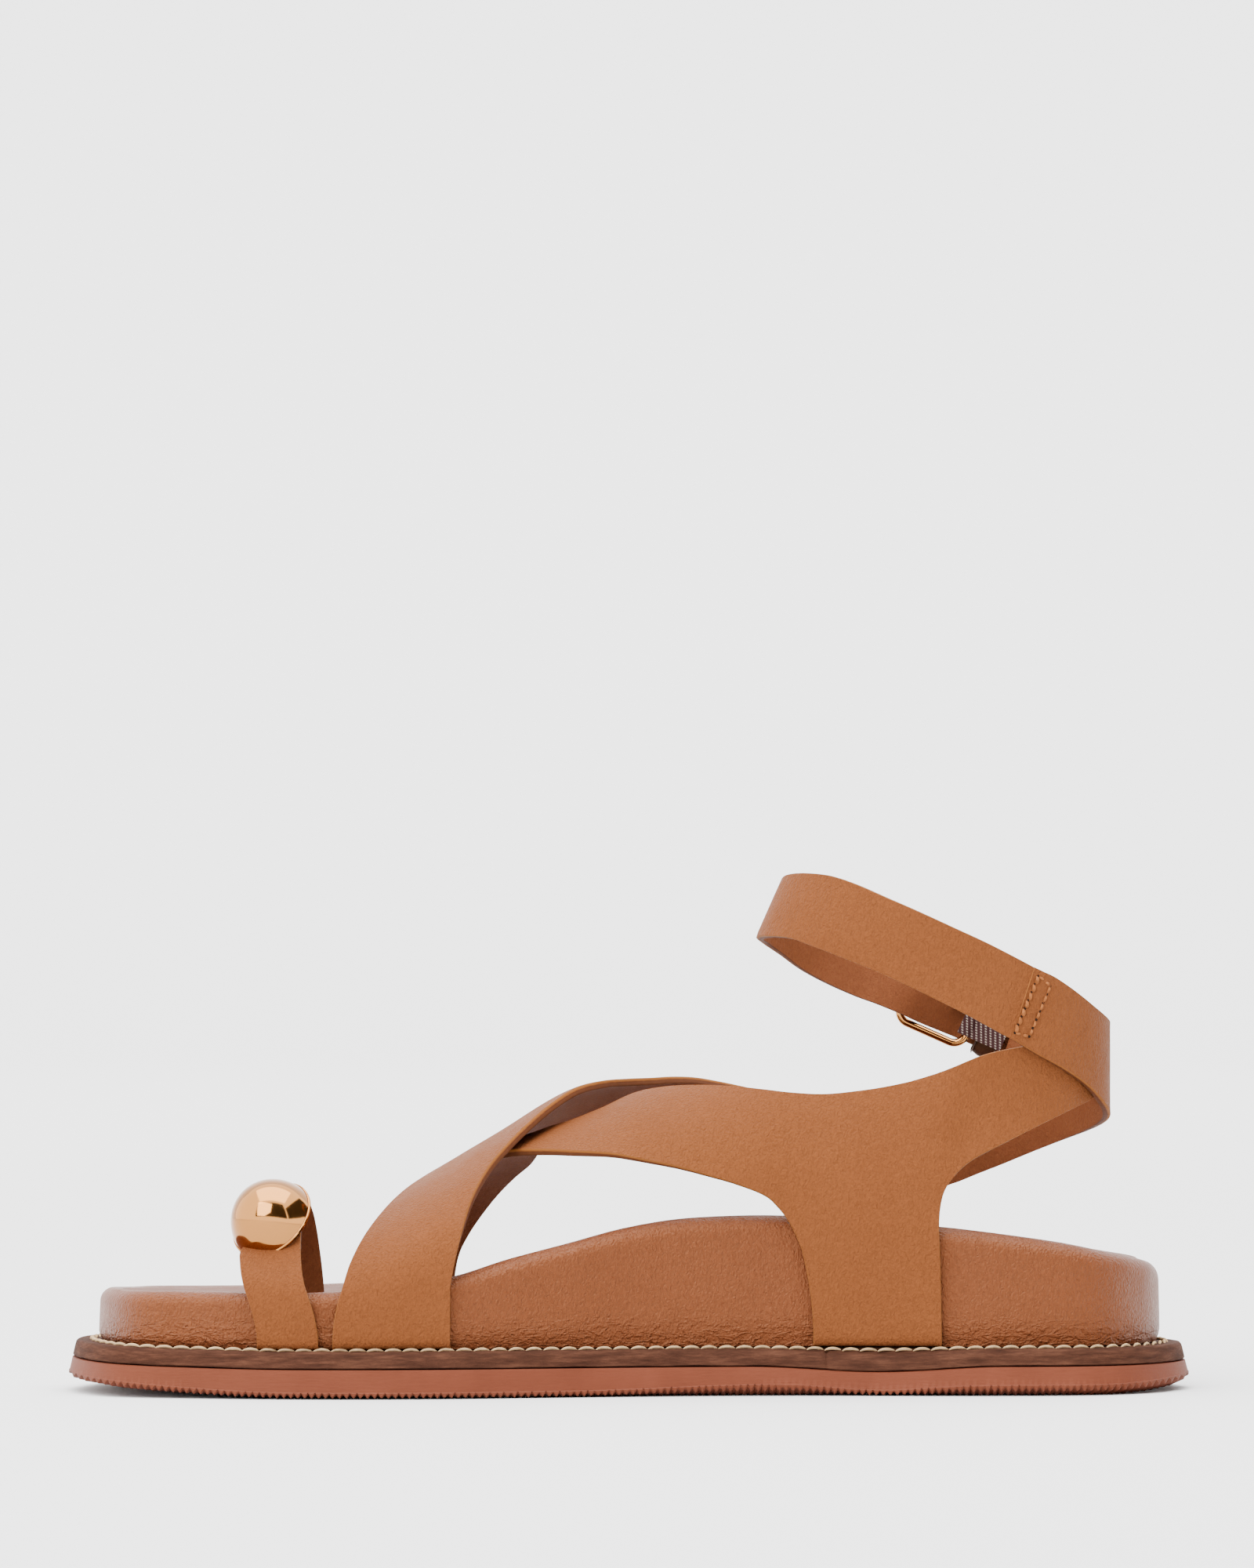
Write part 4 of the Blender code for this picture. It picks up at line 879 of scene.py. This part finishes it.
def footRows(top, bases, side):
    # A strap's end: down the footbed's wall, round its lower corner and in under it.
    wall, bend = shoe["gap"] + strap["wall"], strap["tabBend"]
    rows = []
    for share in [step / 12 for step in range(1, 13)]:
        row = []
        for point, base in zip(top, bases):
            x = point.x + (base - point.x) * (1 - (1 - share) ** 2)
            y = point.y + (wallAcross(x, side, wall) - point.y) * min(1.0, share * 3.3)
            low = footbedBase(x) + bend
            row.append(Vector((x, y, point.z + (low - point.z) * share)))
        rows.append(row)
    ends = [(wall - bend * (1 - cos(radians(turn))), bend * (1 - sin(radians(turn))))
            for turn in (22.5, 45.0, 67.5, 90.0)]
    ends += [(margin, 0.0) for margin in (-0.002, -0.0045, -strap["tabLength"])]
    for margin, drop in ends:
        rows.append([Vector((x, wallAcross(x, side, margin), footbedBase(x) + drop))
                     for x in bases])
    return rows


def evenBases(ends, count):
    return [lengthAt(ends[0] + (ends[1] - ends[0]) * i / count) for i in range(count + 1)]


def faceOutward(bm, inside):
    # Turns the faces away from the point that inside gives for a face's centre, if any.
    bmesh.ops.recalc_face_normals(bm, faces=bm.faces)
    bm.normal_update()
    total = 0.0
    for face in bm.faces:
        centre = face.calc_center_median()
        point = inside(centre)
        if point is not None:
            total += face.normal.dot(centre - point) * face.calc_area()
    if total < 0:
        bmesh.ops.reverse_faces(bm, faces=bm.faces)


def softenVerts(bm, verts, passes):
    for _ in range(passes):
        bmesh.ops.smooth_vert(bm, verts=verts, factor=0.5, use_axis_x=True, use_axis_y=True,
                              use_axis_z=True)


def roughen(bm, amount, scale, seed=0.0):
    # Slow unevenness, so that no surface is perfectly even.
    bm.normal_update()
    for vert in bm.verts:
        place = vert.co * scale + Vector((seed, seed * 0.7, 0.0))
        vert.co += vert.normal * amount * noise.noise(place)


def thickenStrap(bm):
    # Gives a surface its wall: the face, the lining under it and the raw edge round it.
    layer = bm.verts.layers.float.new("edge")
    bm.normal_update()
    faces = list(bm.faces)
    normals = {v: v.normal.copy() for v in bm.verts}
    outward = {}
    borders = []
    for edge in bm.edges:
        if edge.is_boundary:
            corner = edge.link_loops[0]
            first, second = corner.vert, corner.link_loop_next.vert
            borders.append((first, second))
            away = (second.co - first.co).cross(corner.face.normal).normalized()
            for vert in (first, second):
                outward[vert] = outward.get(vert, Vector()) + away
    inner = {}
    for vert, normal in normals.items():
        inner[vert] = bm.verts.new(vert.co - normal * strap["wall"])
        inner[vert][layer] = 1.0
    for face in faces:
        bm.faces.new([inner[v] for v in reversed(face.verts)]).material_index = 1
    chains = {}
    for vert, away in outward.items():
        away.normalize()
        chains[vert] = [vert]
        for share, out in edgeProfile[1:-1]:
            sunk = normals[vert] * strap["wall"] * share
            point = bm.verts.new(vert.co - sunk + away * strap["bulge"] * out)
            point[layer] = share
            chains[vert].append(point)
        chains[vert].append(inner[vert])
    for first, second in borders:
        a, b = chains[first], chains[second]
        for k in range(len(edgeProfile) - 1):
            bm.faces.new((b[k], a[k], a[k + 1], b[k + 1])).material_index = 2


def softenCorner(bm, corner):
    near = [v for v in bm.verts if v.is_boundary and (v.co - corner).length < 0.006]
    for _ in range(14):
        moved = {}
        for v in near:
            beside = [e.other_vert(v).co for e in v.link_edges if e.is_boundary]
            moved[v] = (v.co * 2 + beside[0] + beside[1]) / 4
        for v, place in moved.items():
            v.co = place


def insideQuarter(centre):
    if centre.z > 1.5 * footbedBase(centre.x):
        return Vector((centre.x * 0.75, 0.0, centre.z * 0.8))
    return None


def quarterSurface(side, arm, legTopRows, layers, rear, foot):
    # One quarter: forward arm with its far end, leg and rear arm.
    steps, columns = strap["steps"], strap["columns"]
    rows = []
    for i, (fa, ft, ra, rt) in enumerate(arm + legTopRows):
        layer = layers[min(i, len(layers) - 1)] * min(1.0, max(0, len(arm) - i) / 4)
        rows.append(acrossStrap(sectionPoint, (fa, ft), (ra, rt), side, layer))
    firstLeg, lastLeg = len(arm) * steps, (len(rows) - 1) * steps
    made = asPoints(smoothRows(rows + ankleRows(rear), steps))
    made = relaxRows(made, lastLeg - steps, len(made) - 2 * steps, 20)
    farEnd = footRows(made[0], evenBases(foot, columns), -side)
    bm = strapSurface(list(reversed(farEnd)) + made)
    legTop = [row[0] for row in made[firstLeg:lastLeg + 1]]
    leg = strapSurface([legTop] + footRows(legTop, evenBases(legFootAlong, len(legTop) - 1), side))
    spare = bpy.data.meshes.new("spare_leg")
    leg.to_mesh(spare)
    leg.free()
    bm.from_mesh(spare)
    bpy.data.meshes.remove(spare)
    bmesh.ops.remove_doubles(bm, verts=bm.verts, dist=1.0e-5)
    faceOutward(bm, insideQuarter)
    # Softens the fold where the leg leaves the arm, and the corners above the leg.
    softenVerts(bm, [v for v in bm.verts if not v.is_boundary], 5)
    softenCorner(bm, made[firstLeg][0])
    softenCorner(bm, made[lastLeg][0])
    joint = {tuple(round(c, 6) for c in p) for p in legTop}
    ring = [v for v in bm.verts if tuple(round(c, 6) for c in v.co) in joint and not v.is_boundary]
    for _ in range(3):
        ring = list({e.other_vert(v) for v in ring for e in v.link_edges} | set(ring))
    softenVerts(bm, [v for v in ring if not v.is_boundary], 6)
    return bm


strapMaterials = [leather("tan_leather", tanLook), leather("lining_leather", liningLook),
                  rawEdge()]


def makeUpper():
    inner = quarterSurface(-1, underArm, innerLegTop, (0.0,), underRear, underArmFootAlong)
    outer = quarterSurface(1, overArm, outerLegTop, overArmLayers, overRear, overArmFootAlong)
    roughen(inner, 0.00012, 60.0)
    roughen(outer, 0.00012, 60.0, 3.0)
    puffSeam(outer)
    for name, bm in (("inner_quarter", inner), ("outer_quarter", outer)):
        thickenStrap(bm)
        addPiece(name, bm, strapMaterials, "upper", 38.0)


def makeAnkleStrap():
    lowTurn, lowUp, highTurn, highUp, proud = overRear[-1]
    seam = 0.1 * shoe["gap"] / ankle["back"] * 180.0 / pi
    start = (lowTurn - seam, lowUp, highTurn - seam, highUp, proud - 0.08)
    bm = strapSurface(asPoints(smoothRows(ankleRows((start,) + longStrap), strap["steps"])))
    middle = Vector((lengthAt(ankle["centreAlong"]), 0.0, ankle["rise"]))
    faceOutward(bm, lambda centre: middle)
    roughen(bm, 0.00010, 70.0, 5.0)
    thickenStrap(bm)
    addPiece("ankle_strap_leather", bm, strapMaterials, "ankle_strap", 38.0)


toeLoop = {
    "width": 0.0140,
    "footAlong": 0.1825,
}

# The toe loop's middle line: along, across, height, and how far its rear edge is rolled up.
loopTable = (
    (0.169, -0.508, 0.356, 0), (0.166, -0.464, 0.435, 0.04), (0.1656, -0.41, 0.486, 0.2),
    (0.169, -0.352, 0.54, 0.52), (0.1718, -0.296, 0.568, 0.6), (0.1738, -0.234, 0.57, 0.5),
    (0.1765, -0.168, 0.535, 0.28), (0.18, -0.124, 0.455, 0.12), (0.1835, -0.1, 0.35, 0),
    (0.185, -0.092, 0.245, 0),
)


def loopRows():
    rows = []
    for along, across, up, roll in loopTable:
        x, y, z = lengthAt(along), across * shoe["ballWidth"], up * shoe["instepRise"]
        drop = roll * toeLoop["width"] / 2
        half = (toeLoop["width"] / 2) * cos(asin(roll))
        rows.append([Vector((x - half, y, z - drop)), Vector((x, y, z)),
                     Vector((x + half, y, z + drop))])
    wall = shoe["gap"] + strap["wall"]
    rows[0] = [Vector((p.x, wallAcross(p.x, -1, wall), p.z)) for p in rows[0]]
    return rows


def makeToeLoop():
    wide = []
    for first, mid, last in asPoints(smoothRows(loopRows(), 8)):
        wide.append([first.lerp(mid, k / 5) for k in range(5)]
                    + [mid.lerp(last, k / 5) for k in range(6)])
    half = toeLoop["width"] / 2
    bases = [lengthAt(toeLoop["footAlong"]) + (k / 5 - 1) * half for k in range(11)]
    foot = footRows(wide[0], bases, -1)
    rows = relaxRows(list(reversed(foot)) + wide, len(foot) - 9, len(foot) + 12, 16)
    bm = strapSurface(rows)
    middle = Vector((lengthAt(loopTable[4][0]), -0.27 * shoe["ballWidth"],
                     0.4 * shoe["instepRise"]))
    faceOutward(bm, lambda centre: middle if centre.z > middle.z else None)
    roughen(bm, 0.00008, 90.0, 8.0)
    thickenStrap(bm)
    addPiece("toe_loop_leather", bm, strapMaterials, "toe_loop", 38.0)


dome = {
    "radius": 0.0105,
    "height": 0.0101,
    "lip": 0.0008,
    "taper": 14.0,
    "centre": (-0.0834, -0.0298, 0.0406),
    "axis": (-0.49, -0.64, 0.59),
}
paleGold = goldMaterial()


def makeDome():
    # A turned profile: flat back, thin lip with a groove inside it, and the crown.
    radius, height, lip = dome["radius"], dome["height"], dome["lip"]
    crown = radius - lip * 0.45
    points = [(0.0, 0.0), (radius - 0.0002, 0.0), (radius, 0.0002), (radius, lip * 0.7),
              (radius - 0.00012, lip * 0.92), (radius - 0.0003, lip), (crown, lip * 0.86)]
    low = radians(dome["taper"])
    for step in range(1, 25):
        turn = low + (pi / 2 - low) * step / 24
        rise = lip + (height - lip) * (sin(turn) - sin(low)) / (1 - sin(low))
        points.append((crown * cos(turn) / cos(low) if step < 24 else 0.0, rise))
    bm = bmesh.new()
    verts = [bm.verts.new((r, 0.0, z)) for r, z in points]
    edges = [bm.edges.new(pair) for pair in zip(verts, verts[1:])]
    bmesh.ops.spin(bm, geom=verts + edges, cent=(0, 0, 0), axis=(0, 0, 1), angle=2 * pi, steps=96,
                   use_merge=True)
    bmesh.ops.remove_doubles(bm, verts=bm.verts, dist=1.0e-7)
    bmesh.ops.recalc_face_normals(bm, faces=bm.faces)
    turned = Vector(dome["axis"]).normalized().to_track_quat("Z", "Y").to_matrix().to_4x4()
    matrix = Matrix.Translation(dome["centre"]) @ turned
    bmesh.ops.transform(bm, matrix=matrix, verts=bm.verts)
    addPiece("dome", bm, [paleGold], "dome_ornament", 30.0)


# The box of stitches that holds the long strap: its corners as X and Z in metres.
seamBox = {
    "corners": ((0.0957, 0.0976), (0.0985, 0.0953), (0.0935, 0.0835), (0.0901, 0.0844)),
    "pitch": 0.0021,
    "thread": 0.00042,
    "hole": 0.00034,
    "puff": 0.00030,
}


def bandPoint(x, z, out):
    # The near, inner face of the ankle band at a given X and height.
    turn = ankleTurn(x, z, -1, 1.0)
    place, beside = [anklePoint(t, z / ankle["rise"], 1.0) for t in (turn, turn + 1.5)]
    normal = (beside - place).cross(Vector((0.0, 0.0, 1.0))).normalized()
    if normal.y > 0:
        normal.negate()
    return place + normal * out, normal


def puffSeam(bm):
    # The leather is pulled down along the rows and stands up between them.
    (ax, az), (bx, bz), (cx, cz), (dx, dz) = seamBox["corners"]
    bm.normal_update()
    for vert in bm.verts:
        if vert.co.y < 0 and 0.08 < vert.co.x < 0.104 and vert.co.z > 0.08:
            t = (az - vert.co.z) / (az - dz)
            left = ax + (dx - ax) * t
            right = bx + (cx - bx) * (bz - vert.co.z) / (bz - cz)
            u = (vert.co.x - left) / max(right - left, 1e-6)
            ends = min(1.0, max(0.0, (t + 0.2) / 0.3)) * min(1.0, max(0.0, (1.2 - t) / 0.3))
            rise = -0.6 * max(0.0, 1 - abs(u - (u > 0.5)) / 0.35)
            if 0.0 < u < 1.0:
                rise = sin(pi * u)
            vert.co += vert.normal * seamBox["puff"] * rise * ends


def makeSeamStitches():
    bm, holes = bmesh.new(), bmesh.new()
    corners = seamBox["corners"]
    for row, ((x0, z0), (x1, z1)) in enumerate(zip(corners, corners[1:] + corners[:1])):
        near = row == 3
        share, fat, twist = (0.86, 1.2, 0.0005) if near else (0.72, 0.85, 0.0001)
        count = max(2, round(Vector((x1 - x0, z1 - z0)).length / seamBox["pitch"]))
        at = lambda t, out: bandPoint(x0 + (x1 - x0) * t / count, z0 + (z1 - z0) * t / count, out)
        for k in range(count):
            start, _ = at(k + (1 - share) / 2, -0.00006)
            end, normal = at(k + (1 + share) / 2, -0.00006)
            stitch(bm, start, end, normal, seamBox["thread"] * fat, twist, 0.1)
            # At each stitch hole a flat dark disc lies on the band: painted shade for the hole's
            # recess.
            place, normal = at(k, 0.00003)
            made = bmesh.ops.create_circle(holes, cap_ends=True, segments=10,
                                           radius=seamBox["hole"])
            turn = normal.to_track_quat("Z", "Y").to_matrix().to_4x4()
            bmesh.ops.transform(holes, matrix=Matrix.Translation(place) @ turn,
                                verts=made["verts"])
    bmesh.ops.recalc_face_normals(bm, faces=bm.faces)
    tan = threadMaterial("tan_thread", ((0.145, 0.046, 0.012), (0.240, 0.083, 0.024)))
    # Near-black tones for the hole discs are painted shade.
    dark = threadMaterial("stitch_hole_painted_shade", ((0.008, 0.003, 0.001), (0.016, 0.006, 0.002)))
    addPiece("seam_stitches", bm, [tan], None, 60.0)
    addPiece("seam_hole_painted_shade", holes, [dark], None, 60.0)


buckle = {
    "bar": 0.00095,
    "length": 0.0170,
    "width": 0.0172,
    "corner": 0.0030,
    "slope": 24.0,
    "along": 0.7985,
    "up": 0.0912,
    "proud": 0.0006,
    "prong": 0.00065,
    "keeperPast": 0.0043,
    "keeperLength": 0.0054,
    "keeperWall": 0.0012,
}


def buckleFrameMatrix():
    # Local X runs along the strap towards its tail, Y down across it, Z outward.
    place = Vector((lengthAt(buckle["along"]), 0.0, buckle["up"]))
    place.y = anklePoint(90.0, buckle["up"] / ankle["rise"], 0.0).y + buckle["proud"]
    slope = radians(buckle["slope"])
    run = Vector((cos(slope), 0.0, -sin(slope)))
    outward = Vector((0.0, 1.0, 0.0))
    across = outward.cross(run)
    matrix = Matrix((run, across, outward)).transposed().to_4x4()
    matrix.translation = place
    return matrix


def roundedRectangle(length, width, corner, steps):
    points = []
    for quadrant in range(4):
        cx = (length / 2 - corner) * (1 if quadrant in (0, 3) else -1)
        cy = (width / 2 - corner) * (1 if quadrant in (0, 1) else -1)
        for step in range(steps + 1):
            angle = pi / 2 * (quadrant + step / steps)
            points.append((cx + corner * cos(angle), cy + corner * sin(angle)))
    return points


def tubeMesh(points, radii, closed, sides):
    # A round wire through its points, in the buckle's own frame.
    bm = bmesh.new()
    count = len(points)
    across = Vector((0.0, 0.0, 1.0)) if closed else Vector((0.0, 1.0, 0.0))
    rings = []
    for i, point in enumerate(points):
        before = points[i - 1] if closed or i > 0 else point
        after = points[(i + 1) % count] if closed or i < count - 1 else point
        side = (after - before).normalized().cross(across).normalized()
        turns = [2 * pi * j / sides for j in range(sides)]
        rings.append([bm.verts.new(point + (side * cos(a) + across * sin(a)) * radii[i])
                      for a in turns])
    joinRings(bm, rings, closed, not closed)
    bmesh.ops.recalc_face_normals(bm, faces=bm.faces)
    bmesh.ops.transform(bm, matrix=buckleFrameMatrix(), verts=bm.verts)
    return bm


def makeBuckle():
    outline = roundedRectangle(buckle["length"], buckle["width"], buckle["corner"], 12)
    outline = [Vector((x, y, 0.0)) for x, y in outline]
    points = []
    for start, end in zip(outline, outline[1:] + outline[:1]):
        pieces = 6 if (end - start).length > 0.004 else 1
        points += [start.lerp(end, k / pieces) for k in range(pieces)]
    bm = tubeMesh(points, [buckle["bar"]] * len(points), True, 20)
    addPiece("buckle_bar", bm, [paleGold], "buckle_frame", 60.0)
    prong = buckle["prong"]
    reach = buckle["bar"] + shoe["gap"] + prong
    hinge = buckle["length"] / 2
    path = [(-hinge - prong, 0.96, 0.55), (-hinge, 1.0, 0.9), (-hinge * 0.5, 1.02, 1.0),
            (0.0, 1.05, 1.0), (hinge * 0.5, 1.04, 1.0)]
    path += [(hinge + reach * cos(radians(turn)), sin(radians(turn)), 1.0)
             for turn in range(90, -181, -15)]
    points = [Vector((x, 0.0, reach * up)) for x, up, _ in path]
    bm = tubeMesh(points, [prong * fat for _, _, fat in path], False, 14)
    addPiece("prong", bm, [paleGold], "buckle_prong", 60.0)


def makeKeeper():
    # A leather ring round the strap's tail, over the elastic. Its dark leather is painted shade,
    # standing for the shade the loop lies in.
    turned = buckleFrameMatrix()
    along = buckle["length"] / 2 + buckle["bar"] + buckle["keeperPast"]
    at = turned @ Vector((along, 0.0, 0.0))
    wall = buckle["keeperWall"]
    over, under = [(turned.inverted() @ anklePoint(ankleTurn(at.x, at.z, 1, proud),
                                                   at.z / ankle["rise"], proud)).z
                   for proud in (strap["overBuckle"], 0.0)]
    high, low = over + 3 * shoe["gap"], under + 2 * shoe["gap"] + wall
    width = strap["longWidth"] + 4 * shoe["gap"]
    hole = (0.0, 0.0008)
    ring = (2 * wall, 0.0018)
    edge = (wall, 0.0013)
    half = buckle["keeperLength"] / 2
    near = half - 0.0003
    rings = []
    for (grown, corner), out in ((edge, half), (ring, near), (ring, 0.3 * half),
                                 (ring, -0.3 * half), (edge, -half), (ring, -near),
                                 (hole, -near), (hole, near)):
        outline = roundedRectangle(width + grown, high - low + grown, corner, 5)
        rings.append([turned @ Vector((along + out, y, z + (low + high) / 2)) for y, z in outline])
    # Dark leather here is painted shade, not the keeper's own colour.
    material = leather("keeper_leather", keeperPaintedShadeLook)
    addPiece("keeper_loop", loft(rings, True), [material], "strap_keeper", 50.0)


def makeElastic():
    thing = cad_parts["buckle_elastic"]
    thing.data.materials.clear()
    thing.data.materials.append(weaveMaterial())


makeOutsole()
makeWelt()
makeWeltStitches()
makeFootbed()
makeInsole()
makeUpper()
makeToeLoop()
makeDome()
makeAnkleStrap()
makeSeamStitches()
makeBuckle()
makeKeeper()
makeElastic()
print("pieces made")

# Places, sizes and targets are in metres, powers in watts.
studio = {
    "floor": (0.68, 0.68, 0.68, 1.0),
    "world": 4.6,
    "halfWidth": 6.0,
    "frontY": -6.0,
    "bendY": 3.0,
    "bend": 1.2,
    "cameraPlace": (-0.00065, -2.5, 0.1426),
    "lens": 242.9,
}
lights = (
    ("top_light", (0.0, -0.2, 1.5), (0.0, 0.0, 0.0), (1.8, 1.4), 44.0),
    ("window_light", (-1.1, -2.7, 1.75), (0.0, 0.0, 0.05), (2.2, 2.3), 170.0),
    ("backdrop_light", (0.0, 1.6, 2.5), (0.0, 4.2, 0.9), (3.6, 0.8), 150.0),
)
# Unlit cards off the picture give polished metal something dark: foot, middle, size, turn.
cards = (
    ("dark_card", (0.0, -3.3, 0.0), (-0.3, 0.0, 2.4), (6.0, 3.4), 0.0),
    ("side_card", (2.9, -0.9, 0.0), (0.0, 0.0, 1.8), (4.6, 2.2), 90.0),
)


def makeFloor():
    bm = bmesh.new()
    width, bend, start = studio["halfWidth"], studio["bend"], studio["bendY"]
    rows = [(studio["frontY"], 0.0), (start, 0.0)]
    for turn in range(10, 91, 10):
        rows.append((start + bend * sin(radians(turn)), bend * (1 - cos(radians(turn)))))
    rows.append((start + bend, width))
    verts = [[bm.verts.new((x, y, z)) for x in (-width, width)] for y, z in rows]
    for low, high in zip(verts, verts[1:]):
        bm.faces.new((low[0], low[1], high[1], high[0]))
    look = Look("floor", {"Base Color": studio["floor"], "Roughness": 0.9,
                          "Specular IOR Level": 0.1})
    thing = newObject("floor", bm, [look.material])
    thing.data.shade_smooth()


def makeWorld():
    world = bpy.data.worlds.new("studio")
    world.use_nodes = True
    back = world.node_tree.nodes["Background"]
    back.inputs["Color"].default_value = (1.0, 1.0, 1.0, 1.0)
    back.inputs["Strength"].default_value = studio["world"]
    bpy.context.scene.world = world


def areaLight(name, place, target, size, power):
    light = bpy.data.lights.new(name, "AREA")
    light.shape = "RECTANGLE"
    light.size, light.size_y = size
    light.energy = power
    thing = bpy.data.objects.new(name, light)
    bpy.context.scene.collection.objects.link(thing)
    thing.location = place
    thing.rotation_mode = "QUATERNION"
    thing.rotation_quaternion = (Vector(target) - Vector(place)).to_track_quat("-Z", "Y")


def darkCard(name, foot, middle, size, turn):
    bm = bmesh.new()
    bmesh.ops.create_grid(bm, x_segments=1, y_segments=1, size=0.5)
    turned = Matrix.Rotation(radians(turn), 4, "Z") @ Matrix.Translation(middle)
    upright = Matrix.Rotation(pi / 2, 4, "X") @ Matrix.Diagonal((*size, 1.0, 1.0))
    bmesh.ops.transform(bm, matrix=Matrix.Translation(foot) @ turned @ upright, verts=bm.verts)
    look = Look(name, {"Base Color": (0.02, 0.017, 0.015, 1.0), "Roughness": 0.9})
    newObject(name, bm, [look.material])


makeFloor()
makeWorld()
for card in cards:
    darkCard(*card)
for light in lights:
    areaLight(*light)

cameraData = bpy.data.cameras.new("camera")
cameraData.lens = studio["lens"]
cameraData.clip_start, cameraData.clip_end = 0.1, 30.0
camera = bpy.data.objects.new("camera", cameraData)
camera.location = studio["cameraPlace"]
camera.rotation_euler = (pi / 2, 0.0, 0.0)
bpy.context.scene.collection.objects.link(camera)
bpy.context.scene.camera = camera
